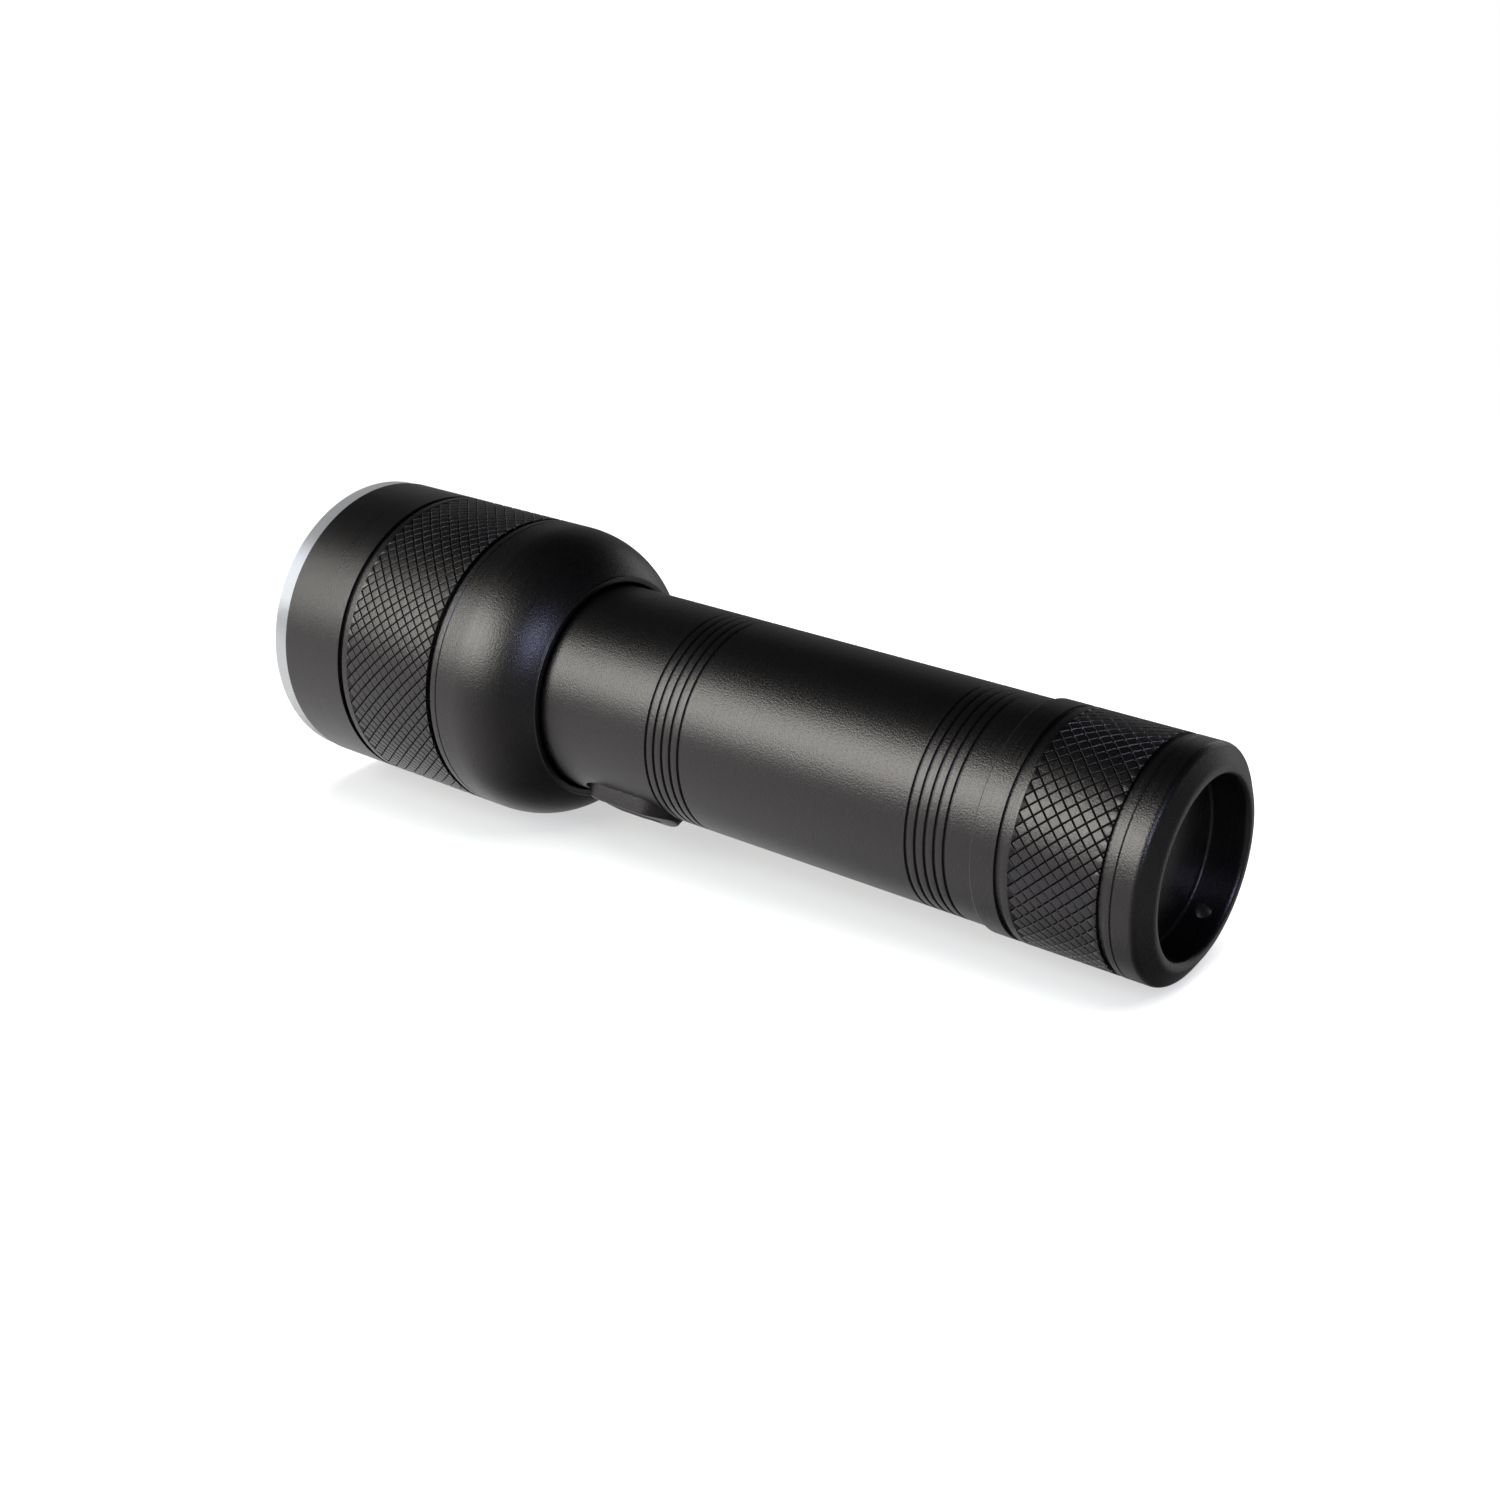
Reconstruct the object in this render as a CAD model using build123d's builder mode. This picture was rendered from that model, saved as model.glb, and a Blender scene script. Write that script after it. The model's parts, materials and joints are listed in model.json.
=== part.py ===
from build123d import *
from math import atan2, cos, degrees, radians, sin, sqrt
import os

# Sliding-focus hand torch: turned aluminium head, barrel and tail cap on one axis.
#
# The torch lies along X with its lens facing -X and its tail cap at +X. The origin is on the axis,
# half way along the overall length. All sizes are in millimetres. The radii are built up from the
# three battery cells and from the lens, and the lengths from the stack of pieces inside.

os.makedirs("parts", exist_ok=True)

# --- outside lengths, from the front bezel to the tail -----------------------------------------
bezel_length = 2.4
front_band_length = 10.8
head_knurl_length = 15.3
shoulder_straight = 3.85
shoulder_dome_length = 10.4
cap_front_band = 3.25
cap_knurl_length = 11.2
cap_ring_length = 3.65
cap_chamfer_length = 1.4
groove_width = 0.85
knurl_land = 0.95

# --- turned details ----------------------------------------------------------------------------
head_groove_depth = 0.6
cap_groove_depth = 0.4
edge_break = 0.25
rim_chamfer = 0.3
ring_groove_count = 5
ring_groove_pitch = 1.31
ring_groove_width = 0.42
ring_groove_depth = 0.3
front_grooves_from_switch = 2.05
rear_grooves_from_cap = 6.28

# --- running gaps and seats --------------------------------------------------------------------
running_gap = 0.1
stop_gap = 0.3
guide_gap = 0.35
seam_gap = 0.05
thread_gap = 0.1
seat_gap = 0.2

# --- head: lens, its seat and the sliding focus ------------------------------------------------
zoom_travel = 10.0
lens_radius = 18.2
lens_rim_width = 2.0
lens_rim_thickness = 1.6
lens_dome_height = 7.8
lens_seal_thickness = 1.4
lens_lip_width = 1.2
lens_lip_thickness = 1.2
sleeve_thread_wall = 1.76
sleeve_bore_step = 1.2
bezel_step = 0.16
bezel_wall = 1.4
bezel_flare = 1.0
bezel_spigot_length = 5.6
shoulder_rim_width = 1.05

# --- light engine: the piston that the head slides on ------------------------------------------
engine_length = 15.5
engine_cup_depth = 4.5
engine_cup_wall = 2.5
engine_web = 3.0
focus_ring_section = 1.8
focus_ring_from_front = 6.5
led_board_radius = 10.0
led_board_thickness = 1.6
led_base_size = 5.0
led_base_height = 0.8
led_dome_radius = 1.9
led_dome_height = 1.7
led_dome_chamfer = 0.8
led_holder_edge = 2.0
led_holder_height = 1.4
wire_radius = 0.6
wire_spread = 4.5
wire_drop = 3.0
wire_hole_gap = 0.3

# --- battery carrier and its three cells -------------------------------------------------------
cell_count = 3
cell_radius = 5.1
cell_body_length = 43.7
cell_nub_radius = 1.9
cell_nub_length = 0.8
cell_to_cell_gap = 0.19
cell_spring_length = 2.2
cell_spring_radius = 3.2
cell_spring_tip_radius = 1.6
cell_contact_thickness = 0.5
cell_contact_radius = 3.6
carrier_margin = 0.2
carrier_disc_thickness = 2.0
carrier_rib_radius = 2.0
carrier_rib_inset = 0.1
carrier_gap = 0.3
carrier_front_contact_radius = 5.0
carrier_rear_contact_radius = 8.0
carrier_contact_thickness = 0.6

# --- barrel ------------------------------------------------------------------------------------
barrel_wall = 2.4
spigot_step = 1.0
barrel_tail_length = 6.55
tail_seal_section = 1.0
tail_seal_from_shoulder = 2.0

# --- side switch -------------------------------------------------------------------------------
switch_angle = 235.4
switch_from_head = 3.1
switch_rise = 1.2
switch_pocket_depth = 1.8
switch_pocket_gap = 0.12
switch_end_length = 4.3
switch_end_step = 0.1
switch_side_wall = 0.75
switch_end_wall = 2.25
switch_lip = 0.7
switch_edge_break = 0.2
switch_gasket_thickness = 0.4
button_length = 8.6
button_width = 5.0
button_crown = 0.2
button_edge = 0.35
button_flange_margin = 0.8
button_flange_thickness = 0.8
button_clearance = 0.3
button_travel = 0.7
button_stem_radius = 2.2
tact_size = 6.0
tact_height = 1.8
tact_depth_in_bore = 0.6
tact_plunger_radius = 1.7
tact_plunger_depth = 0.8
switch_board_length = 14.0
switch_board_width = 9.0
switch_board_thickness = 1.2

# --- driver and switch insert ------------------------------------------------------------------
insert_front_margin = 2.0
insert_rear_margin = 0.85
insert_gap = 0.2
driver_board_thickness = 1.6
driver_spring_length = 3.0
driver_spring_radius = 3.2
driver_spring_turns = 2.0
spring_wire = 0.6

# --- tail cap ----------------------------------------------------------------------------------
cap_step = 0.41
cap_thread_depth = 7.55
cap_ledge = 0.9
cap_floor_thickness = 3.5
recess_wall = 3.48
recess_depth = 4.9
end_ring_width = 1.17
lanyard_hole_radius = 1.0
lanyard_hole_angle = 306.0
lanyard_hole_from_end = 2.75
tail_plate_gap = 0.5
tail_plate_thickness = 1.2
tail_ring_thickness = 1.2
tail_ring_wall = 1.8
tail_spring_length = 3.0
tail_spring_radius = 4.4
tail_spring_turns = 2.0

# --- radii, worked out from the cells and the lens outwards --------------------------------------
cell_circle_radius = (2 * cell_radius + cell_to_cell_gap) / sqrt(3)
carrier_disc_radius = cell_circle_radius + cell_radius + carrier_margin
carrier_rib_circle = carrier_disc_radius - carrier_rib_radius - carrier_rib_inset
barrel_bore_radius = carrier_disc_radius + carrier_gap
barrel_radius = barrel_bore_radius + barrel_wall
barrel_spigot_radius = barrel_radius - spigot_step
insert_radius = barrel_bore_radius - insert_gap
thread_bore_radius = barrel_spigot_radius + thread_gap

cap_radius = barrel_radius + cap_step
cap_cavity_radius = barrel_spigot_radius - cap_ledge
recess_radius = cap_radius - recess_wall
cap_end_radius = recess_radius + end_ring_width

sleeve_thread_radius = lens_radius + seat_gap
head_radius = sleeve_thread_radius + sleeve_thread_wall
sleeve_bore_radius = sleeve_thread_radius - sleeve_bore_step
lens_lip_radius = sleeve_bore_radius - lens_lip_width
lens_dome_radius = lens_radius - lens_rim_width
bezel_radius = head_radius - bezel_step
bezel_spigot_radius = sleeve_thread_radius - thread_gap
bezel_opening_radius = bezel_spigot_radius - bezel_wall
engine_radius = sleeve_bore_radius - running_gap
engine_cup_radius = engine_radius - engine_cup_wall
guide_radius = barrel_radius + guide_gap
shoulder_rim_radius = guide_radius + shoulder_rim_width

# --- lengths, worked out from the pieces inside --------------------------------------------------
grooved_land = 2 * groove_width + knurl_land
head_length = (
    bezel_length + front_band_length + grooved_land + head_knurl_length
    + shoulder_straight + shoulder_dome_length
)
cap_length = cap_front_band + grooved_land + cap_knurl_length + cap_ring_length + cap_chamfer_length
switch_body_length = button_length + 2 * (button_clearance + button_flange_margin + switch_end_wall)
switch_body_width = button_width + 2 * (button_clearance + button_flange_margin + switch_side_wall)
switch_from_front = head_length + switch_from_head + switch_body_length / 2
insert_rear_from_front = switch_from_front + switch_board_length / 2 + insert_rear_margin
cell_length = cell_body_length + cell_nub_length
cell_zone_length = cell_contact_thickness + cell_length + cell_spring_length
carrier_length = cell_zone_length + 2 * (carrier_disc_thickness + carrier_contact_thickness)
overall_length = (
    insert_rear_from_front + driver_board_thickness + driver_spring_length + carrier_length
    + tail_spring_length + tail_plate_thickness + cap_floor_thickness + recess_depth
)

# --- places along the axis -----------------------------------------------------------------------
head_front = -overall_length / 2
head_rear = head_front + head_length
cap_end = overall_length / 2
cap_front = cap_end - cap_length

sleeve_front = head_front + bezel_length
head_groove_front = sleeve_front + front_band_length
head_knurl_end = head_groove_front + groove_width + knurl_land + head_knurl_length
dome_start = head_rear - shoulder_dome_length

spigot_end = sleeve_front + bezel_spigot_length
lens_front = spigot_end + lens_seal_thickness
lens_seat = lens_front + lens_rim_thickness
lens_apex = lens_front - lens_dome_height
lip_rear = lens_seat + lens_lip_thickness
engine_front = lip_rear + stop_gap
engine_rear = engine_front + engine_length
engine_seat = engine_front + engine_cup_depth
engine_skirt = engine_seat + engine_web
sleeve_stop = engine_rear + zoom_travel + stop_gap
focus_ring_x = engine_front + focus_ring_from_front
led_board_front = engine_seat - led_board_thickness

barrel_front = engine_skirt + seat_gap
barrel_tail = cap_front + barrel_tail_length
tail_seal_x = cap_front + tail_seal_from_shoulder + tail_seal_section / 2

switch_x = head_front + switch_from_front
insert_front = switch_x - switch_board_length / 2 - insert_front_margin
insert_rear = head_front + insert_rear_from_front
driver_rear = insert_rear + driver_board_thickness
carrier_front = driver_rear + driver_spring_length
front_disc = carrier_front + carrier_contact_thickness
cell_zone = front_disc + carrier_disc_thickness
rear_disc = cell_zone + cell_zone_length
carrier_rear = carrier_front + carrier_length

cap_shoulder = cap_front + cap_thread_depth
recess_floor = cap_end - recess_depth
cap_floor = recess_floor - cap_floor_thickness
tail_plate_front = cap_floor - tail_plate_thickness
lanyard_x = cap_end - lanyard_hole_from_end
cap_chamfer_start = cap_end - cap_chamfer_length
cap_groove_front = cap_front + cap_front_band
cap_knurl_end = cap_groove_front + groove_width + knurl_land + cap_knurl_length

# --- levels of the side switch above the torch axis, from the pocket outwards --------------------
switch_pocket_floor = barrel_radius - switch_pocket_depth
gasket_top = switch_pocket_floor + switch_gasket_thickness
switch_body_top = barrel_radius + switch_rise
switch_end_level = barrel_radius + switch_end_step
lip_level = switch_body_top - switch_lip
flange_top = lip_level - running_gap
flange_bottom = flange_top - button_flange_thickness
tact_top = barrel_bore_radius - tact_depth_in_bore
tact_base = tact_top - tact_height
switch_board_level = tact_base - switch_board_thickness
stem_bottom = tact_top + button_travel + stop_gap
plunger_bottom = tact_top - tact_plunger_depth
stem_hole_radius = button_stem_radius + button_clearance

to_tail = Vector(1, 0, 0)
switch_out = Vector(0, cos(radians(switch_angle)), sin(radians(switch_angle)))
lanyard_out = Vector(0, cos(radians(lanyard_hole_angle)), sin(radians(lanyard_hole_angle)))

# Turned profiles are drawn as (x, radius) in the upright plane through the torch axis.
profile_plane = Plane.XZ


def switch_level(height):
    """The plane square to the switch's direction, this far out from the torch axis."""
    return Plane(origin=switch_out * height + Vector(switch_x, 0, 0), x_dir=(1, 0, 0), z_dir=switch_out)


def torch_section(x):
    """The plane across the torch at x, facing the tail, with its second axis towards the switch."""
    return Plane(origin=(x, 0, 0), x_dir=switch_out.cross(to_tail), z_dir=to_tail)


def turned(*corners):
    """A closed outline of (x, radius) corners, ready to be revolved about the torch axis."""
    with BuildSketch(profile_plane) as outline:
        with BuildLine():
            Polyline(*corners, close=True)
        make_face()
    return outline.sketch


def tube(start, end, outer, inner):
    """The outline of a plain ring from start to end along the axis."""
    return turned((start, inner), (start, outer), (end, outer), (end, inner))


def ring_section(x, seat_radius, section):
    """A fitted sealing ring's six-sided section, standing on the floor of its groove."""
    inner = seat_radius
    outer = seat_radius + section
    middle = seat_radius + section / 2
    side = section / 2
    return turned(
        (x - side / 2, inner), (x - side, middle), (x - side / 2, outer),
        (x + side / 2, outer), (x + side, middle), (x + side / 2, inner),
    )


def slot(level, length, width):
    """A rounded slot along the torch, on a plane square to the switch."""
    with BuildSketch(level) as outline:
        SlotOverall(length, width)
    return outline.sketch


def wind(start, length, radius, turns):
    """Wind a square-wire coil on the axis, this long from face to face, into the part being built."""
    height = length - spring_wire
    with BuildLine() as path:
        Helix(height / turns, height, radius, center=(start + spring_wire / 2, 0, 0), direction=to_tail)
    wire = path.edges()[0]
    radial = Vector(0, (wire @ 0).Y, (wire @ 0).Z)
    with BuildSketch(Plane(origin=wire @ 0, x_dir=radial, z_dir=wire % 0)) as section:
        Rectangle(spring_wire, spring_wire)
    sweep(section.sketch, path=wire, is_frenet=True)


# === head ======================================================================================

# Bare metal bezel: a flange in front of the sleeve, with a spigot that screws in and holds the lens.
with BuildPart() as bezel_ring:
    revolve(
        turned(
            (head_front, bezel_opening_radius + bezel_flare),
            (head_front, bezel_radius - edge_break),
            (head_front + edge_break, bezel_radius),
            (sleeve_front, bezel_radius),
            (sleeve_front, bezel_spigot_radius),
            (spigot_end, bezel_spigot_radius),
            (spigot_end, bezel_opening_radius),
            (sleeve_front, bezel_opening_radius),
        ),
        axis=Axis.X,
    )
bezel_ring.part.label = "bezel_ring"
export_step(bezel_ring.part, "parts/bezel_ring.step")

# Domed lens with a flat back and a rim that the bezel clamps against the sleeve's lip.
with BuildPart() as lens:
    with BuildSketch(profile_plane):
        with BuildLine():
            dome = TangentArc((lens_apex, 0), (lens_front, lens_dome_radius), tangent=(0, 1))
            Polyline(
                dome @ 1,
                (lens_front, lens_radius),
                (lens_seat, lens_radius),
                (lens_seat, 0),
                dome @ 0,
            )
        make_face()
    revolve(axis=Axis.X)
lens.part.label = "lens"
export_step(lens.part, "parts/lens.step")

# Flat sealing ring between the bezel's spigot and the lens rim.
with BuildPart() as lens_seal:
    revolve(tube(spigot_end, lens_front, bezel_spigot_radius, bezel_opening_radius), axis=Axis.X)
lens_seal.part.label = "lens_seal"
export_step(lens_seal.part, "parts/lens_seal.step")

# Head sleeve: threaded front, lens lip, long sliding bore and a domed rear wall round the barrel.
head_groove_floor = head_radius - head_groove_depth
with BuildPart() as head_sleeve:
    with BuildSketch(profile_plane):
        with BuildLine():
            front_to_dome = Polyline(
                (sleeve_front, sleeve_thread_radius),
                (sleeve_front, head_radius - edge_break),
                (sleeve_front + edge_break, head_radius),
                (head_groove_front, head_radius),
                (head_groove_front, head_groove_floor),
                (head_groove_front + groove_width, head_groove_floor),
                (head_groove_front + groove_width, head_radius),
                (head_knurl_end, head_radius),
                (head_knurl_end, head_groove_floor),
                (head_knurl_end + groove_width, head_groove_floor),
                (head_knurl_end + groove_width, head_radius),
                (dome_start, head_radius),
            )
            shoulder = TangentArc(
                front_to_dome @ 1, (head_rear - rim_chamfer, shoulder_rim_radius), tangent=(1, 0)
            )
            Polyline(
                shoulder @ 1,
                (head_rear, shoulder_rim_radius - rim_chamfer),
                (head_rear, guide_radius + rim_chamfer),
                (head_rear - rim_chamfer, guide_radius),
                (sleeve_stop, guide_radius),
                (sleeve_stop, sleeve_bore_radius),
                (lip_rear, sleeve_bore_radius),
                (lip_rear, lens_lip_radius),
                (lens_seat, lens_lip_radius),
                (lens_seat, sleeve_thread_radius),
                front_to_dome @ 0,
            )
        make_face()
    revolve(axis=Axis.X)
head_sleeve.part.label = "head_sleeve"
export_step(head_sleeve.part, "parts/head_sleeve.step")

# === light engine ==============================================================================

# Piston that screws on the barrel: a cup for the light source, a web and a threaded skirt.
focus_ring_seat = engine_radius + running_gap / 2 - focus_ring_section
wire_spots = [(-wire_spread, -wire_drop), (wire_spread, -wire_drop)]
wire_hole_radius = wire_radius + wire_hole_gap
with BuildPart() as light_engine:
    revolve(
        turned(
            (engine_front, engine_cup_radius),
            (engine_front, engine_radius),
            (focus_ring_x - focus_ring_section / 2, engine_radius),
            (focus_ring_x - focus_ring_section / 2, focus_ring_seat),
            (focus_ring_x + focus_ring_section / 2, focus_ring_seat),
            (focus_ring_x + focus_ring_section / 2, engine_radius),
            (engine_rear, engine_radius),
            (engine_rear, thread_bore_radius),
            (engine_skirt, thread_bore_radius),
            (engine_skirt, 0),
            (engine_seat, 0),
            (engine_seat, led_board_radius + seat_gap),
        ),
        axis=Axis.X,
    )
    with BuildSketch(torch_section(engine_seat)):
        with Locations(*wire_spots):
            Circle(wire_hole_radius)
    extrude(amount=engine_web, mode=Mode.SUBTRACT)
light_engine.part.label = "light_engine"
export_step(light_engine.part, "parts/light_engine.step")

# Ring in the piston's groove: it seals the sliding head and holds it where it is set.
with BuildPart() as focus_ring:
    revolve(ring_section(focus_ring_x, focus_ring_seat, focus_ring_section), axis=Axis.X)
focus_ring.part.label = "focus_ring"
export_step(focus_ring.part, "parts/focus_ring.step")

with BuildPart() as led_board:
    with BuildSketch(torch_section(led_board_front)):
        Circle(led_board_radius)
    extrude(amount=led_board_thickness)
led_board.part.label = "led_board"
export_step(led_board.part, "parts/led_board.step")

# Light source: a square base with a small round dome on it.
with BuildPart() as led_emitter:
    with BuildSketch(torch_section(led_board_front)):
        Rectangle(led_base_size, led_base_size)
    extrude(amount=-led_base_height)
    with BuildSketch(torch_section(led_board_front - led_base_height)):
        Circle(led_dome_radius)
    extrude(amount=-led_dome_height)
    dome_rim = led_emitter.faces().sort_by(Axis.X)[0].edges()
    chamfer(dome_rim, led_dome_chamfer)
led_emitter.part.label = "led_emitter"
export_step(led_emitter.part, "parts/led_emitter.step")

# White ring that centres the light source on its board.
led_window_radius = led_base_size / sqrt(2) + seat_gap
led_holder_radius = led_board_radius - led_holder_edge
with BuildPart() as led_holder:
    revolve(
        turned(
            (led_board_front, led_window_radius),
            (led_board_front, led_holder_radius),
            (led_board_front - led_holder_height / 2, led_holder_radius),
            (led_board_front - led_holder_height, led_window_radius + led_holder_height),
            (led_board_front - led_holder_height, led_window_radius),
        ),
        axis=Axis.X,
    )
led_holder.part.label = "led_holder"
export_step(led_holder.part, "parts/led_holder.step")

# Two wires from the light source's board, through the web and the insert, to the driver board.
with BuildPart() as led_wires:
    with BuildSketch(torch_section(engine_seat)):
        with Locations(*wire_spots):
            Circle(wire_radius)
    extrude(amount=insert_rear - engine_seat)
led_wires.part.label = "led_wires"
export_step(led_wires.part, "parts/led_wires.step")

# === barrel ====================================================================================

tail_seal_seat = barrel_spigot_radius + thread_gap / 2 - tail_seal_section
groove_half = ring_groove_width / 2
front_groove_middle = switch_x + switch_body_length / 2 + front_grooves_from_switch
rear_groove_middle = cap_front - rear_grooves_from_cap
with BuildPart() as barrel:
    revolve(
        turned(
            (barrel_front, barrel_bore_radius),
            (barrel_front, barrel_spigot_radius),
            (engine_rear, barrel_spigot_radius),
            (engine_rear, barrel_radius),
            (cap_front - seam_gap, barrel_radius),
            (cap_front - seam_gap, barrel_spigot_radius),
            (tail_seal_x - tail_seal_section / 2, barrel_spigot_radius),
            (tail_seal_x - tail_seal_section / 2, tail_seal_seat),
            (tail_seal_x + tail_seal_section / 2, tail_seal_seat),
            (tail_seal_x + tail_seal_section / 2, barrel_spigot_radius),
            (barrel_tail, barrel_spigot_radius),
            (barrel_tail, barrel_bore_radius),
        ),
        axis=Axis.X,
    )
    for middle in (front_groove_middle, rear_groove_middle):
        for number in range(ring_groove_count):
            groove_x = middle + (number - (ring_groove_count - 1) / 2) * ring_groove_pitch
            revolve(
                turned(
                    (groove_x - groove_half, barrel_radius),
                    (groove_x, barrel_radius + ring_groove_depth),
                    (groove_x + groove_half, barrel_radius),
                    (groove_x, barrel_radius - ring_groove_depth),
                ),
                axis=Axis.X,
                mode=Mode.SUBTRACT,
            )
    pocket = slot(
        switch_level(switch_pocket_floor),
        switch_body_length + 2 * switch_pocket_gap,
        switch_body_width + 2 * switch_pocket_gap,
    )
    extrude(pocket, amount=barrel_radius, mode=Mode.SUBTRACT)
    with BuildSketch(switch_level(switch_pocket_floor)):
        Circle(stem_hole_radius)
    extrude(amount=-(switch_pocket_floor - tact_base), mode=Mode.SUBTRACT)
barrel.part.label = "barrel"
export_step(barrel.part, "parts/barrel.step")

# Sealing ring in the groove on the barrel's threaded tail.
with BuildPart() as tail_seal:
    revolve(ring_section(tail_seal_x, tail_seal_seat, tail_seal_section), axis=Axis.X)
tail_seal.part.label = "tail_seal"
export_step(tail_seal.part, "parts/tail_seal.step")

# === side switch ===============================================================================

window_length = button_length + 2 * button_clearance
window_width = button_width + 2 * button_clearance
flange_length = button_length + 2 * button_flange_margin
flange_width = button_width + 2 * button_flange_margin

with BuildPart() as switch_gasket:
    extrude(slot(switch_level(switch_pocket_floor), switch_body_length, switch_body_width),
            amount=switch_gasket_thickness)
    with BuildSketch(switch_level(switch_pocket_floor)):
        Circle(stem_hole_radius)
    extrude(amount=switch_gasket_thickness, mode=Mode.SUBTRACT)
switch_gasket.part.label = "switch_gasket"
export_step(switch_gasket.part, "parts/switch_gasket.step")

# Raised oval body round the button, flat on top and rounded down to the barrel at both ends.
body_half = switch_body_length / 2
body_flat_half = body_half - switch_end_length
switch_side = Plane(origin=(switch_x, 0, 0), x_dir=(1, 0, 0), z_dir=to_tail.cross(switch_out))
with BuildPart() as switch_body:
    extrude(slot(switch_level(gasket_top), switch_body_length, switch_body_width),
            amount=switch_body_top - gasket_top)
    top_rim = switch_body.faces().sort_by(Axis((0, 0, 0), switch_out))[-1].edges()
    chamfer(top_rim, switch_edge_break)
    with BuildSketch(switch_side):
        with BuildLine():
            rear_end = TangentArc(
                (body_flat_half, switch_body_top), (body_half, switch_end_level), tangent=(1, 0)
            )
            front_end = TangentArc(
                (-body_flat_half, switch_body_top), (-body_half, switch_end_level), tangent=(-1, 0)
            )
            Line(front_end @ 0, rear_end @ 0)
            Polyline(front_end @ 1, (-body_half, 0), (body_half, 0), rear_end @ 1)
        make_face()
    extrude(amount=switch_body_width, both=True, mode=Mode.INTERSECT)
    extrude(slot(switch_level(gasket_top), flange_length + 2 * button_clearance,
                 flange_width + 2 * button_clearance),
            amount=lip_level - gasket_top, mode=Mode.SUBTRACT)
    extrude(slot(switch_level(gasket_top), window_length, window_width),
            amount=switch_body_top, mode=Mode.SUBTRACT)
switch_body.part.label = "switch_body"
export_step(switch_body.part, "parts/switch_body.step")

# Rubber button: a flange under the body's lip, the key in its window and a stem to the switch.
with BuildPart() as switch_button:
    extrude(slot(switch_level(flange_bottom), flange_length, flange_width), amount=button_flange_thickness)
    extrude(slot(switch_level(flange_top), button_length, button_width),
            amount=switch_body_top + button_crown - flange_top)
    key_rim = switch_button.faces().sort_by(Axis((0, 0, 0), switch_out))[-1].edges()
    chamfer(key_rim, button_edge)
    with BuildSketch(switch_level(stem_bottom)):
        Circle(button_stem_radius)
    extrude(amount=flange_bottom - stem_bottom)
switch_button.part.label = "switch_button"
export_step(switch_button.part, "parts/switch_button.step")

with BuildPart() as tact_plunger:
    with BuildSketch(switch_level(plunger_bottom)):
        Circle(tact_plunger_radius)
    extrude(amount=stem_bottom - plunger_bottom)
tact_plunger.part.label = "tact_plunger"
export_step(tact_plunger.part, "parts/tact_plunger.step")

with BuildPart() as tact_switch:
    with BuildSketch(switch_level(tact_base)):
        Rectangle(tact_size, tact_size)
        Circle(tact_plunger_radius + running_gap, mode=Mode.SUBTRACT)
    extrude(amount=tact_height)
tact_switch.part.label = "tact_switch"
export_step(tact_switch.part, "parts/tact_switch.step")

with BuildPart() as switch_board:
    with BuildSketch(switch_level(switch_board_level)):
        Rectangle(switch_board_length, switch_board_width)
    extrude(amount=switch_board_thickness)
switch_board.part.label = "switch_board"
export_step(switch_board.part, "parts/switch_board.step")

# === driver ====================================================================================

# Plastic insert that fills the barrel under the switch and carries both circuit boards.
with BuildPart() as switch_insert:
    with BuildSketch(torch_section(insert_front)):
        Circle(insert_radius)
        with Locations(*wire_spots):
            Circle(wire_hole_radius, mode=Mode.SUBTRACT)
    extrude(amount=insert_rear - insert_front)
    with BuildSketch(switch_level(switch_board_level)):
        Rectangle(4 * insert_radius, 4 * insert_radius)
    extrude(amount=insert_radius, mode=Mode.SUBTRACT)
switch_insert.part.label = "switch_insert"
export_step(switch_insert.part, "parts/switch_insert.step")

with BuildPart() as driver_board:
    with BuildSketch(torch_section(insert_rear)):
        Circle(carrier_disc_radius)
    extrude(amount=driver_board_thickness)
driver_board.part.label = "driver_board"
export_step(driver_board.part, "parts/driver_board.step")

# Coil from the driver board to the carrier's front contact.
with BuildPart() as driver_spring:
    wind(driver_rear, driver_spring_length, driver_spring_radius, driver_spring_turns)
driver_spring.part.label = "driver_spring"
export_step(driver_spring.part, "parts/driver_spring.step")

# === battery carrier ===========================================================================

cell_step = 360 / cell_count
cell_spots = PolarLocations(cell_circle_radius, cell_count)
rib_spots = PolarLocations(carrier_rib_circle, cell_count, start_angle=cell_step / 2)

with BuildPart() as battery_carrier:
    with BuildSketch(torch_section(front_disc)):
        Circle(carrier_disc_radius)
    extrude(amount=carrier_disc_thickness)
    with BuildSketch(torch_section(rear_disc)):
        Circle(carrier_disc_radius)
    extrude(amount=carrier_disc_thickness)
    with BuildSketch(torch_section(cell_zone)):
        with rib_spots:
            Circle(carrier_rib_radius)
    extrude(amount=cell_zone_length)
battery_carrier.part.label = "battery_carrier"
export_step(battery_carrier.part, "parts/battery_carrier.step")

with BuildPart() as carrier_front_contact:
    with BuildSketch(torch_section(carrier_front)):
        Circle(carrier_front_contact_radius)
    extrude(amount=carrier_contact_thickness)
carrier_front_contact.part.label = "carrier_front_contact"
export_step(carrier_front_contact.part, "parts/carrier_front_contact.step")

with BuildPart() as carrier_rear_contact:
    with BuildSketch(torch_section(rear_disc + carrier_disc_thickness)):
        Circle(carrier_rear_contact_radius)
    extrude(amount=carrier_contact_thickness)
carrier_rear_contact.part.label = "carrier_rear_contact"
export_step(carrier_rear_contact.part, "parts/carrier_rear_contact.step")


def cell_turned_round(number):
    """Every other cell lies the other way round, which joins the three in series."""
    return number % 2 == 1


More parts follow.
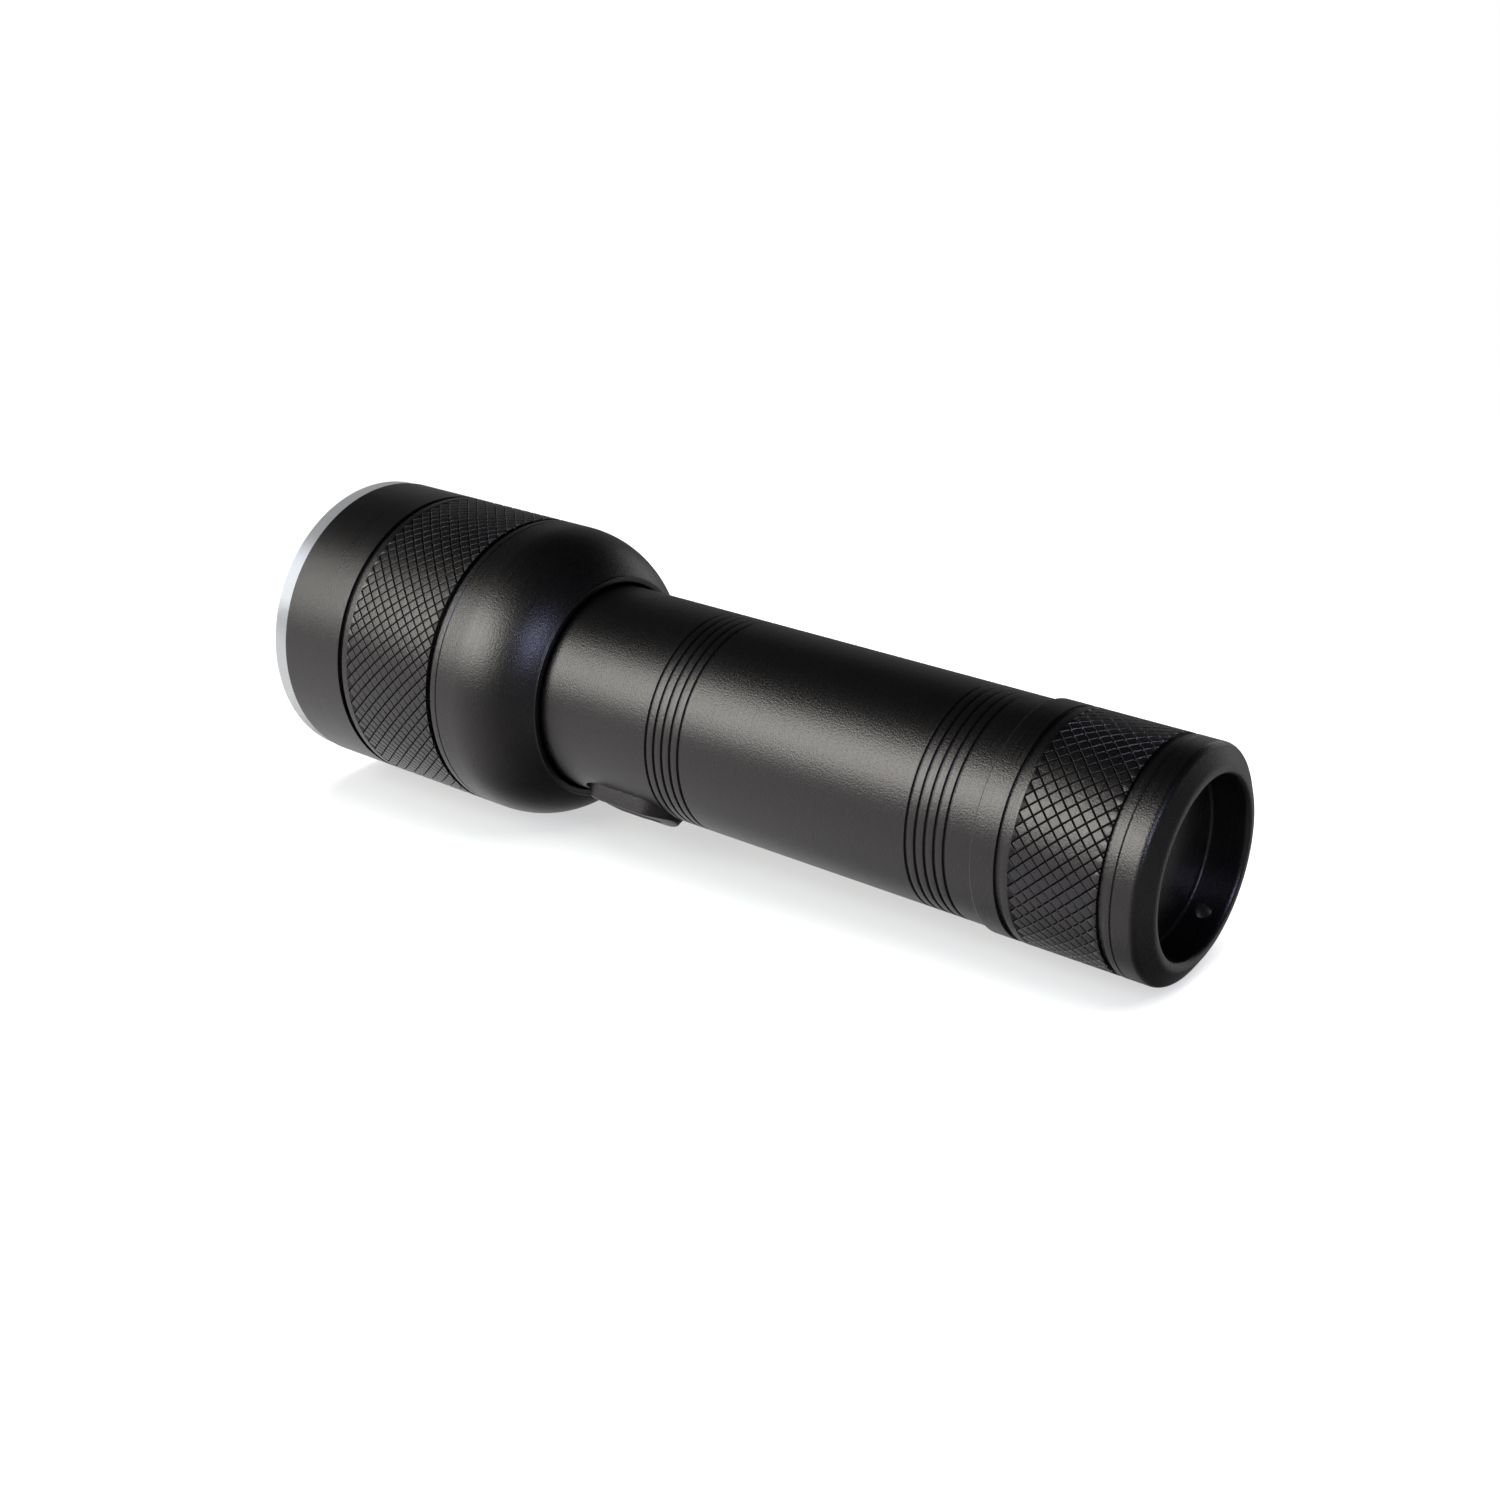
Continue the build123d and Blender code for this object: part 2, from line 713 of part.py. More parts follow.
contact_spots = []
spring_spots = []
for number, spot in enumerate(cell_spots.locations):
    offset = (spot.position.X, spot.position.Y)
    if cell_turned_round(number):
        nub_end = rear_disc - cell_contact_thickness
        nub_way = -1
        contact_spots.append((rear_disc - cell_contact_thickness, offset))
        spring_spots.append((cell_zone, offset, 1))
    else:
        nub_end = cell_zone + cell_contact_thickness
        nub_way = 1
        contact_spots.append((cell_zone, offset))
        spring_spots.append((rear_disc, offset, -1))
    with BuildPart() as battery_cell:
        with BuildSketch(torch_section(nub_end)):
            with Locations(offset):
                Circle(cell_nub_radius)
        extrude(amount=nub_way * cell_nub_length)
        with BuildSketch(torch_section(nub_end + nub_way * cell_nub_length)):
            with Locations(offset):
                Circle(cell_radius)
        extrude(amount=nub_way * cell_body_length)
    cell_name = f"battery_cell_{number + 1}"
    battery_cell.part.label = cell_name
    export_step(battery_cell.part, f"parts/{cell_name}.step")

# Flat contacts that meet the cells' raised ends, one for each cell.
with BuildPart() as cell_contacts:
    for start, offset in contact_spots:
        with BuildSketch(torch_section(start)):
            with Locations(offset):
                Circle(cell_contact_radius)
        extrude(amount=cell_contact_thickness)
cell_contacts.part.label = "cell_contacts"
export_step(cell_contacts.part, "parts/cell_contacts.step")

# Conical springs from the carrier's end discs to the cells' flat ends, as solids of their outer shape.
with BuildPart() as cell_springs:
    for start, offset, way in spring_spots:
        with BuildSketch(torch_section(start)):
            with Locations(offset):
                Circle(cell_spring_radius)
        with BuildSketch(torch_section(start + way * cell_spring_length)):
            with Locations(offset):
                Circle(cell_spring_tip_radius)
        loft()
cell_springs.part.label = "cell_springs"
export_step(cell_springs.part, "parts/cell_springs.step")

# === tail cap ==================================================================================

cap_groove_floor = cap_radius - cap_groove_depth
with BuildPart() as tail_cap:
    revolve(
        turned(
            (cap_front, thread_bore_radius),
            (cap_front, cap_radius - edge_break),
            (cap_front + edge_break, cap_radius),
            (cap_groove_front, cap_radius),
            (cap_groove_front, cap_groove_floor),
            (cap_groove_front + groove_width, cap_groove_floor),
            (cap_groove_front + groove_width, cap_radius),
            (cap_knurl_end, cap_radius),
            (cap_knurl_end, cap_groove_floor),
            (cap_knurl_end + groove_width, cap_groove_floor),
            (cap_knurl_end + groove_width, cap_radius),
            (cap_chamfer_start, cap_radius),
            (cap_end, cap_end_radius),
            (cap_end, recess_radius),
            (recess_floor, recess_radius),
            (recess_floor, 0),
            (cap_floor, 0),
            (cap_floor, cap_cavity_radius),
            (cap_shoulder, cap_cavity_radius),
            (cap_shoulder, thread_bore_radius),
        ),
        axis=Axis.X,
    )
    with BuildSketch(Plane(origin=(lanyard_x, 0, 0), x_dir=(1, 0, 0), z_dir=lanyard_out)):
        Circle(lanyard_hole_radius)
    extrude(amount=cap_radius + edge_break, mode=Mode.SUBTRACT)
tail_cap.part.label = "tail_cap"
export_step(tail_cap.part, "parts/tail_cap.step")

with BuildPart() as tail_contact_plate:
    with BuildSketch(torch_section(tail_plate_front)):
        Circle(cap_cavity_radius - tail_plate_gap)
    extrude(amount=tail_plate_thickness)
tail_contact_plate.part.label = "tail_contact_plate"
export_step(tail_contact_plate.part, "parts/tail_contact_plate.step")

# Threaded ring that holds the contact plate against the cap's floor.
tail_ring_outer = cap_cavity_radius - running_gap
with BuildPart() as tail_contact_ring:
    revolve(
        tube(tail_plate_front - tail_ring_thickness, tail_plate_front, tail_ring_outer,
             tail_ring_outer - tail_ring_wall),
        axis=Axis.X,
    )
tail_contact_ring.part.label = "tail_contact_ring"
export_step(tail_contact_ring.part, "parts/tail_contact_ring.step")

# Coil between the carrier's rear contact and the plate in the cap.
with BuildPart() as tail_spring:
    wind(carrier_rear, tail_spring_length, tail_spring_radius, tail_spring_turns)
tail_spring.part.label = "tail_spring"
export_step(tail_spring.part, "parts/tail_spring.step")

print(f"overall length {overall_length:.2f}, head {head_length:.2f}, exposed barrel {cap_front - head_rear:.2f}")
print(f"head radius {head_radius:.2f}, barrel radius {barrel_radius:.2f}, cap radius {cap_radius:.2f}")
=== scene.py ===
import json
from math import cos, hypot, pi, radians, sin, sqrt, tau

import bmesh
import bpy
from mathutils import Matrix, Quaternion, Vector


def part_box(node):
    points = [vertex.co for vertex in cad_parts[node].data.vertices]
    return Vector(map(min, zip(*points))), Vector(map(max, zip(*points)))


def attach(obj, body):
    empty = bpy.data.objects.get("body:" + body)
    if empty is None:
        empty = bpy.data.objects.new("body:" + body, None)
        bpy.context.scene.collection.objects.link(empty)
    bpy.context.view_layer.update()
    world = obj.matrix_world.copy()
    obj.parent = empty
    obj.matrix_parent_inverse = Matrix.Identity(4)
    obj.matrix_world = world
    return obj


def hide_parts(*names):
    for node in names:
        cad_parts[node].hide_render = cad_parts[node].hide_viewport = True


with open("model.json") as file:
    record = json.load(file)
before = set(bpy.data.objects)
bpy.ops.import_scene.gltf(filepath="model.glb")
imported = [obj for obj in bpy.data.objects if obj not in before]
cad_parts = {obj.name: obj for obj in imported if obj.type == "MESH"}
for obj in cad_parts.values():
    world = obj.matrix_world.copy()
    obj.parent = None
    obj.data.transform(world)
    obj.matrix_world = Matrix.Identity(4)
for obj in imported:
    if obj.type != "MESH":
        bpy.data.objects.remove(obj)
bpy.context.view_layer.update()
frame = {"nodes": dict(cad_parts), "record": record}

# Lengths in this script are in millimetres, and MM turns them into the scene's metres. The torch lies
# along X, with its head at the front, towards -X, and its tail cap at the rear.
MM = 0.001


def span(node):
    """Where a node starts and ends along the torch axis."""
    low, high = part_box(node)
    return low.x / MM, high.x / MM


def radius_of(node):
    """A node's largest radius about the torch axis."""
    return max(hypot(vertex.co.y, vertex.co.z) for vertex in frame["nodes"][node].data.vertices) / MM


# --- sizes read from the frame ---------------------------------------------------------------------
head_front, bezel_spigot_end = span("bezel_ring")
sleeve_front, head_rear = span("head_sleeve")
lens_apex, lens_seat = span("lens")
gasket_front, gasket_rear = span("lens_seal")
engine_front, engine_rear = span("light_engine")
board_rear = span("led_board")[1]
holder_front, holder_rear = span("led_holder")
emitter_front, emitter_rear = span("led_emitter")
barrel_front, barrel_tail = span("barrel")
switch_front, switch_rear = span("switch_body")
seal_front, seal_rear = span("tail_seal")
cap_front, cap_end = span("tail_cap")

head_radius = radius_of("head_sleeve")
bezel_radius = radius_of("bezel_ring")
lens_radius = radius_of("lens")
gasket_radius = radius_of("lens_seal")
engine_radius = radius_of("light_engine")
board_radius = radius_of("led_board")
holder_radius = radius_of("led_holder")
barrel_radius = radius_of("barrel")
cap_radius = radius_of("tail_cap")

# --- head ------------------------------------------------------------------------------------------
sleeve_thread_radius = lens_radius + 0.2
sleeve_bore_radius = engine_radius + 0.1
lens_lip_radius = sleeve_bore_radius - 1.2
lens_lip_rear = engine_front - 0.3
lens_rim_front = lens_seat - 1.6
lens_dome_radius = lens_radius - 2.0
sleeve_stop = engine_rear + 10.3
guide_radius = barrel_radius + 0.35
shoulder_rim_radius = guide_radius + 1.05
shoulder_dome_length = 10.4
front_band_length = 10.8
head_knurl_length = 15.3
head_knurl_starts = 70
head_groove_depth = 0.6
bezel_spigot_radius = sleeve_thread_radius - 0.1
bezel_bore_radius = bezel_spigot_radius - 1.4
bezel_flare = 1.0

# --- details that the head and the cap share -------------------------------------------------------
groove_width = 0.85
knurl_land = 0.95
knurl_bed = 0.2
knurl_depth = 0.22
edge_round = 0.2
groove_round = 0.07
fine_line_width = 0.22
fine_line_depth = 0.1

# A knurl's groove, from its middle out: places in shares of the pitch, and shares of the depth there.
knurl_places = (0.0, 0.045, 0.08, 0.115)
knurl_shares = (1.0, 0.5, 0.12, 0.0)

# --- barrel ----------------------------------------------------------------------------------------
bore_radius = barrel_radius - 2.4
spigot_radius = barrel_radius - 1.0
ring_groove_count = 5
ring_groove_pitch = 1.31
ring_groove_width = 0.42
ring_groove_depth = 0.3
ring_groove_floor_share = 0.55
front_grooves_from_switch = 2.05
rear_grooves_from_cap = 6.28
seal_section = seal_rear - seal_front
seal_radius = spigot_radius + 0.05
thread_start = seal_rear + 0.5
thread_pitch = 1.5
thread_depth = 0.5

# --- side switch -----------------------------------------------------------------------------------
switch_angle = radians(235.4)
switch_width = 8.7
switch_rise = 1.2
switch_end_length = 4.3
switch_end_drop = 1.1
switch_edge_round = 0.3
switch_draft = 0.7
switch_draft_from = barrel_radius - 1.0
pocket_depth = 1.8
pocket_gap = 0.12
body_floor = barrel_radius - 1.4
window_chamfer = 0.1
key_length = 8.6
key_width = 5.0
key_clearance = 0.3
key_flange = 0.8
key_flange_thickness = 0.8
key_crown = 0.2
key_round = 0.45
lip_height = barrel_radius + switch_rise - 0.7
stem_radius = 2.2
stem_bottom = bore_radius + 0.4

# --- tail cap --------------------------------------------------------------------------------------
cap_bore_radius = spigot_radius + 0.1
cap_cavity_radius = spigot_radius - 0.9
cap_thread_depth = 7.55
cap_front_band = 3.25
cap_knurl_length = 11.2
cap_knurl_starts = 50
cap_groove_depth = 0.4
cap_line_from_groove = 0.75
cap_chamfer_length = 1.4
recess_radius = cap_radius - 3.48
recess_depth = 4.9
cap_floor_thickness = 3.5
end_ring_radius = recess_radius + 1.17
lanyard_radius = 1.0
lanyard_angle = radians(306.0)
lanyard_from_end = 2.75

# --- how finely the shapes are drawn ---------------------------------------------------------------
RING_STEPS = 288
ROUND_STEPS = 5
ROUND_SHARE = 0.45
DOME_STEPS = 28
LENS_STEPS = 56
LED_STEPS = 24
SEAL_STEPS = 16
HOLE_STEPS = 64
THREAD_STEPS = 96
SLOT_STEPS = 28
SWITCH_TOP_STEPS = 8
KEY_CROWN_STEPS = 6
SMOOTH_ANGLE = radians(38)


# === mesh helpers ==================================================================================

def rounded(*corners):
    """A closed outline of (x, radius, rounding) corners, with a short curve in place of each corner."""
    points = []
    for index, (x, r, rounding) in enumerate(corners):
        if rounding == 0:
            points.append((x, r))
            continue
        here = Vector((x, r))
        before = Vector(corners[index - 1][:2]) - here
        after = Vector(corners[(index + 1) % len(corners)][:2]) - here
        start = here + before.normalized() * min(rounding, before.length * ROUND_SHARE)
        end = here + after.normalized() * min(rounding, after.length * ROUND_SHARE)
        for step in range(ROUND_STEPS + 1):
            t = step / ROUND_STEPS
            point = start * (1 - t) ** 2 + here * 2 * t * (1 - t) + end * t ** 2
            points.append((point.x, point.y))
    return points


def dome_arc(start, end):
    """Points of the arc that leaves start along the axis and comes down to end, without start itself."""
    length = end[0] - start[0]
    drop = start[1] - end[1]
    radius = (length ** 2 + drop ** 2) / (2 * drop)
    points = []
    for step in range(1, DOME_STEPS + 1):
        x = length * sin(step / DOME_STEPS * pi / 2)
        points.append((start[0] + x, start[1] - radius + sqrt(radius ** 2 - x ** 2)))
    return points


def ring(bm, x, radius):
    """A ring of vertices about the torch axis, or one vertex where the radius is nought."""
    if radius == 0:
        return [bm.verts.new((x * MM, 0, 0))]
    r = radius * MM
    angles = [tau * step / RING_STEPS for step in range(RING_STEPS)]
    return [bm.verts.new((x * MM, r * cos(angle), r * sin(angle))) for angle in angles]


def join_rings(bm, one, other):
    """Faces between two rings of as many vertices, or between a ring and one vertex."""
    count = max(len(one), len(other))
    if count == 1:
        return
    for step in range(count):
        after = (step + 1) % count
        corners = [one[step % len(one)], other[step % len(other)]]
        if len(other) > 1:
            corners.append(other[after])
        if len(one) > 1:
            corners.append(one[after])
        bm.faces.new(corners)


def loft(bm, rings):
    """Closed skin through vertex rings. The last meets the first, unless both are one vertex."""
    for one, other in zip(rings, rings[1:] + rings[:1]):
        join_rings(bm, one, other)
    bmesh.ops.recalc_face_normals(bm, faces=bm.faces)


def lathe(outline):
    """A solid turned from a closed outline of (x, radius) points."""
    bm = bmesh.new()
    loft(bm, [ring(bm, x, radius) for x, radius in outline])
    return bm


def to_mesh(bm, name):
    """A mesh with this solid in it, which ends the solid's editing."""
    mesh = bpy.data.meshes.new(name)
    bm.to_mesh(mesh)
    bm.free()
    return mesh


def absorb(bm, other):
    """Add another closed solid to this one."""
    mesh = to_mesh(other, "part")
    bm.from_mesh(mesh)
    bpy.data.meshes.remove(mesh)


def carve(bm, cutter):
    """This solid with another one cut out of it."""
    objects = [bpy.data.objects.new("solid", to_mesh(solid, "solid")) for solid in (bm, cutter)]
    for item in objects:
        bpy.context.scene.collection.objects.link(item)
    cut = objects[0].modifiers.new("cut", "BOOLEAN")
    cut.operation = "DIFFERENCE"
    cut.solver = "EXACT"
    cut.object = objects[1]
    result = objects[0].evaluated_get(bpy.context.evaluated_depsgraph_get())
    carved = bmesh.new()
    carved.from_mesh(result.data)
    for item in objects:
        mesh = item.data
        bpy.data.objects.remove(item)
        bpy.data.meshes.remove(mesh)
    return carved


def post(base, top, radius):
    """A closed round post from one point to another."""
    way = (top - base).normalized()
    across = way.orthogonal().normalized()
    angles = [tau * step / HOLE_STEPS for step in range(HOLE_STEPS)]
    spokes = [(across * cos(angle) + way.cross(across) * sin(angle)) * radius for angle in angles]
    bm = bmesh.new()
    rings = [[bm.verts.new(base * MM)]]
    for centre in (base, top):
        rings.append([bm.verts.new((centre + spoke) * MM) for spoke in spokes])
    rings.append([bm.verts.new(top * MM)])
    loft(bm, rings)
    return bm


def drill(bm, x, out, inner, outer, radius):
    """This solid with a round hole that runs outwards between two distances from the torch axis."""
    middle = Vector((x, 0, 0))
    return carve(bm, post(middle + out * inner, middle + out * outer, radius))


def knurl(start, end, radius, starts, bed_radius):
    """A closed ring whose outside is crossed by left and right helical grooves, which leave diamonds."""
    fractions = [*knurl_places, *(1 - place for place in reversed(knurl_places))]
    depths = [knurl_depth * share for share in (*knurl_shares, *reversed(knurl_shares))]
    pitch = tau * radius / starts
    places_per_pitch = 1000
    plane_tolerance = 1e-8
    bm = bmesh.new()
    known = {}

    def vertex(a, b, depth):
        """The vertex at a place counted in pitches along both sets of grooves."""
        around = (a + b) / 2 % starts
        along = (a - b) / 2
        place_around = round(around * places_per_pitch) % (starts * places_per_pitch)
        key = (place_around, round(along * places_per_pitch))
        if key not in known:
            angle = tau * around / starts
            r = (radius - depth) * MM
            known[key] = bm.verts.new(((start + pitch * along) * MM, r * cos(angle), r * sin(angle)))
        return known[key]

    rows = int(2 * (end - start) / pitch) + 2
    for row in range(-2, rows):
        for column in range(row % 2, 2 * starts, 2):
            a = (column + row) // 2
            b = (column - row) // 2
            grid = [
                [vertex(a + fa, b + fb, max(da, db)) for fb, db in zip(fractions, depths)]
                for fa, da in zip(fractions, depths)
            ]
            for one, other in zip(grid, grid[1:]):
                for step in range(len(fractions) - 1):
                    bm.faces.new((one[step], other[step], other[step + 1], one[step + 1]))

    for x, way in ((start, -1), (end, 1)):
        bmesh.ops.bisect_plane(
            bm, geom=bm.verts[:] + bm.edges[:] + bm.faces[:], dist=plane_tolerance,
            plane_co=(x * MM, 0, 0), plane_no=(way, 0, 0), clear_outer=True,
        )
    inner_edges = []
    rim = [edge for edge in bm.edges if edge.is_boundary]
    for item in bmesh.ops.extrude_edge_only(bm, edges=rim)["geom"]:
        if isinstance(item, bmesh.types.BMVert):
            shrink = bed_radius * MM / hypot(item.co.y, item.co.z)
            item.co.y *= shrink
            item.co.z *= shrink
        elif isinstance(item, bmesh.types.BMEdge):
            inner_edges.append(item)
    bmesh.ops.bridge_loops(bm, edges=inner_edges)
    bmesh.ops.recalc_face_normals(bm, faces=bm.faces)
    return bm


def thread(start, end, crest, depth, pitch):
    """A closed helical ridge that runs out into its core at both ends."""
    root = crest - depth
    foot = root - 0.1
    foot_half = pitch * 0.44
    crest_half = pitch * 0.1
    run_out = THREAD_STEPS / 4
    total = int((end - start - pitch) / pitch * THREAD_STEPS)
    bm = bmesh.new()
    sections = []
    for step in range(total + 1):
        angle = tau * step / THREAD_STEPS
        x = start + pitch / 2 + pitch * step / THREAD_STEPS
        top = root + depth * min(1, step / run_out, (total - step) / run_out)
        corners = ((-foot_half, foot), (-crest_half, top), (crest_half, top), (foot_half, foot))
        sections.append([
            bm.verts.new(((x + offset) * MM, r * MM * cos(angle), r * MM * sin(angle)))
            for offset, r in corners
        ])
    for one, other in zip(sections, sections[1:]):
        join_rings(bm, one, other)
    bm.faces.new(sections[0])
    bm.faces.new(sections[-1])
    bmesh.ops.recalc_face_normals(bm, faces=bm.faces)
    return bm


# === the side switch's own directions ==============================================================

switch_x = (switch_front + switch_rear) / 2
switch_length = switch_rear - switch_front
switch_out = Vector((0, cos(switch_angle), sin(switch_angle)))
switch_side = Vector((0, -sin(switch_angle), cos(switch_angle)))


def slot_ring(length, width, grow=0):
    """(along, across) points of a rounded slot, grown all round. They are always as many, in one order."""
    straight = (length - width) / 2
    radius = width / 2 + grow
    points = []
    for end, first in ((1, -pi / 2), (-1, pi / 2)):
        for step in range(SLOT_STEPS + 1):
            angle = first + pi * step / SLOT_STEPS
            points.append((end * straight + radius * cos(angle), radius * sin(angle)))
    return points


def on_switch(bm, points, height):
    """Vertices of a slot's points at a height over the torch axis: a number, or a function of the place."""
    vertices = []
    for along, across in points:
        level = height(along) if callable(height) else height
        place = Vector((switch_x + along, 0, 0)) + switch_side * across + switch_out * level
        vertices.append(bm.verts.new(place * MM))
    return vertices


# === materials =====================================================================================

def feed(tree, node, inputs):
    """Link or set a node's inputs."""
    for name, value in inputs.items():
        if isinstance(value, bpy.types.NodeSocket):
            tree.links.new(value, node.inputs[name])
        else:
            node.inputs[name].default_value = value


def add(tree, kind, inputs=None, **settings):
    """A node of this kind, with its settings made and its inputs set or linked."""
    node = tree.nodes.new(kind)
    for name, value in settings.items():
        setattr(node, name, value)
    feed(tree, node, inputs or {})
    return node


def joined(tree, operation, first, *others):
    """Values joined one after another by an arithmetic operation."""
    for other in others:
        first = add(tree, "ShaderNodeMath", {0: first, 1: other}, operation=operation).outputs["Value"]
    return first


def grain(tree, where, size, detail=2.0, rough=0.5):
    """Noise whose grains are about this many millimetres wide."""
    node = add(tree, "ShaderNodeTexNoise", {
        "Vector": where, "Scale": 1 / (size * MM), "Detail": detail, "Roughness": rough,
    })
    return node.outputs["Fac"]


def spread(tree, value, low, high, start=0.3, end=0.7):
    """A value between start and end, spread from low to high."""
    node = add(tree, "ShaderNodeMapRange", {
        "Value": value, "From Min": start, "From Max": end, "To Min": low, "To Max": high,
    })
    return node.outputs["Result"]


def fade(tree, value, start, end, low, high):
    """A number that goes smoothly from low to high while the value goes from start to end."""
    node = add(tree, "ShaderNodeMapRange", {
        "Value": value, "From Min": start, "From Max": end, "To Min": low, "To Max": high,
    }, interpolation_type="SMOOTHSTEP")
    return node.outputs["Result"]


def tint(tree, fac, dark, light):
    """A colour between two, by a factor."""
    node = add(tree, "ShaderNodeMix", data_type="RGBA")
    feed(tree, node, {"Factor": fac, "A": (*dark, 1), "B": (*light, 1)})
    return node.outputs["Result"]


def bumped(tree, height, distance):
    """A surface normal roughened by this many millimetres of height."""
    node = add(tree, "ShaderNodeBump", {"Height": height, "Distance": distance * MM, "Strength": 1.0})
    return node.outputs["Normal"]


# Every material under its slot's name. The frame has its own materials of these names, so Blender
# numbers the new ones.
finish = {}


def material(slot):
    """A new material for a slot: its node tree, its shader and the piece's own coordinates."""
    made = bpy.data.materials.new(slot)
    made.use_nodes = True
    finish[slot] = made
    tree = made.node_tree
    where = add(tree, "ShaderNodeTexCoord").outputs["Object"]
    return tree, tree.nodes["Principled BSDF"], where


def turned_place(tree, where):
    """Coordinates that only change along the axis and outwards, so that marks run round the torch."""
    parts = add(tree, "ShaderNodeSeparateXYZ", {"Vector": where}).outputs
    flat = add(tree, "ShaderNodeCombineXYZ", {"Y": parts["Y"], "Z": parts["Z"]})
    out = add(tree, "ShaderNodeVectorMath", {0: flat.outputs["Vector"]}, operation="LENGTH")
    place = add(tree, "ShaderNodeCombineXYZ", {"X": parts["X"], "Y": out.outputs["Value"]})
    return place.outputs["Vector"]


def black_anodised():
    """Bead-blasted and black anodised aluminium: near black, with a fine grain and a satin sheen."""
    tree, shader, where = material("black_anodised")
    blast = grain(tree, where, size=0.22, detail=2.0, rough=0.6)
    cloud = grain(tree, where, size=9.0, detail=4.0)
    turning = grain(tree, turned_place(tree, where), size=0.25, detail=1.0)
    shade = spread(tree, joined(tree, "MULTIPLY", blast, cloud), low=0, high=1, start=0.12, end=0.42)
    sheen = joined(tree, "ADD", blast, turning)
    feed(tree, shader, {
        "Base Color": tint(tree, shade, dark=(0.0019, 0.0016, 0.0018), light=(0.0036, 0.0031, 0.0034)),
        "Roughness": spread(tree, sheen, low=0.27, high=0.37, start=0.7, end=1.3),
        "Normal": bumped(tree, blast, distance=0.044),
        "IOR": 1.7,
        "Specular Tint": (1.0, 0.935, 0.95, 1),
    })


def bare_aluminium():
    """Turned bare aluminium, with fine marks that run round the torch."""
    tree, shader, where = material("bare_aluminium")
    marks = grain(tree, turned_place(tree, where), size=0.07, detail=3.0)
    cloud = grain(tree, where, size=6.0, detail=3.0)
    feed(tree, shader, {
        "Base Color": tint(tree, cloud, dark=(0.74, 0.75, 0.76), light=(0.8, 0.8, 0.79)),
        "Metallic": 0.75,
        "Roughness": spread(tree, marks, low=0.36, high=0.46),
        "Normal": bumped(tree, marks, distance=0.003),
        "Anisotropic": 0.95,
        "Anisotropic Rotation": 0.25,
        "Tangent": add(tree, "ShaderNodeTangent", direction_type="RADIAL", axis="X").outputs["Tangent"],
    })


def lens_glass():
    """Clear moulded lens, with the faintest haze."""
    tree, shader, where = material("lens_glass")
    haze = grain(tree, where, size=2.5, detail=4.0)
    feed(tree, shader, {
        "Base Color": (0.97, 0.985, 0.98, 1),
        "Transmission Weight": 1.0,
        "IOR": 1.49,
        "Roughness": spread(tree, haze, low=0.0, high=0.025),
    })


def plain_surface(slot, dark, light, roughness, cloud_size, bump_size, bump_height, metallic=0.0):
    """A surface whose colour varies in clouds, and whose roughness and height vary in a fine relief."""
    tree, shader, where = material(slot)
    cloud = grain(tree, where, cloud_size, detail=3.0)
    relief = grain(tree, where, bump_size, detail=2.0)
    range_half = 0.06
    feed(tree, shader, {
        "Base Color": tint(tree, spread(tree, cloud, low=0, high=1), dark, light),
        "Metallic": metallic,
        "Roughness": spread(tree, relief, roughness - range_half, roughness + range_half),
        "Normal": bumped(tree, relief, bump_height),
    })


black_anodised()
bare_aluminium()
lens_glass()
plain_surface("seal_rubber", (0.012, 0.012, 0.012), (0.02, 0.02, 0.02),
              roughness=0.6, cloud_size=3.0, bump_size=0.2, bump_height=0.008)
plain_surface("button_rubber", (0.014, 0.014, 0.015), (0.022, 0.022, 0.023),
              roughness=0.66, cloud_size=2.0, bump_size=0.12, bump_height=0.01)
plain_surface("circuit_board", (0.01, 0.09, 0.035), (0.02, 0.15, 0.06),
              roughness=0.32, cloud_size=0.8, bump_size=0.3, bump_height=0.01)
plain_surface("led_phosphor", (0.8, 0.55, 0.08), (0.9, 0.68, 0.16),
              roughness=0.35, cloud_size=0.4, bump_size=0.1, bump_height=0.003)
plain_surface("white_plastic", (0.78, 0.78, 0.76), (0.86, 0.86, 0.85),
              roughness=0.45, cloud_size=3.0, bump_size=0.15, bump_height=0.004)
plain_surface("wire_sleeve", (0.42, 0.02, 0.02), (0.52, 0.03, 0.03),
              roughness=0.45, cloud_size=1.0, bump_size=0.2, bump_height=0.004)
plain_surface("black_plastic", (0.018, 0.018, 0.019), (0.03, 0.03, 0.031),
              roughness=0.5, cloud_size=4.0, bump_size=0.2, bump_height=0.006)
plain_surface("spring_steel", (0.52, 0.52, 0.54), (0.66, 0.66, 0.68),
              roughness=0.28, cloud_size=1.0, bump_size=0.1, bump_height=0.003, metallic=1.0)
plain_surface("plated_contact", (0.66, 0.63, 0.57), (0.78, 0.75, 0.69),
              roughness=0.3, cloud_size=1.5, bump_size=0.15, bump_height=0.003, metallic=1.0)
plain_surface("cell_jacket", (0.06, 0.12, 0.28), (0.09, 0.17, 0.36),
              roughness=0.3, cloud_size=6.0, bump_size=0.4, bump_height=0.004)


# === pieces ========================================================================================

def piece(name, bm, body, slot, *replaced):
    """A finished solid as a piece of the torch: it rides on its body and stands for its nodes."""
    mesh = to_mesh(bm, name)
    mesh.materials.append(finish[slot])
    for polygon in mesh.polygons:
        polygon.use_smooth = True
        polygon.material_index = 0
    mesh.set_sharp_from_angle(angle=SMOOTH_ANGLE)
    made = bpy.data.objects.new(name, mesh)
    made.modifiers.new("flat_faces", "WEIGHTED_NORMAL").keep_sharp = True
    bpy.context.scene.collection.objects.link(made)
    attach(made, body)
    if replaced:
        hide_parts(*replaced)
    return made


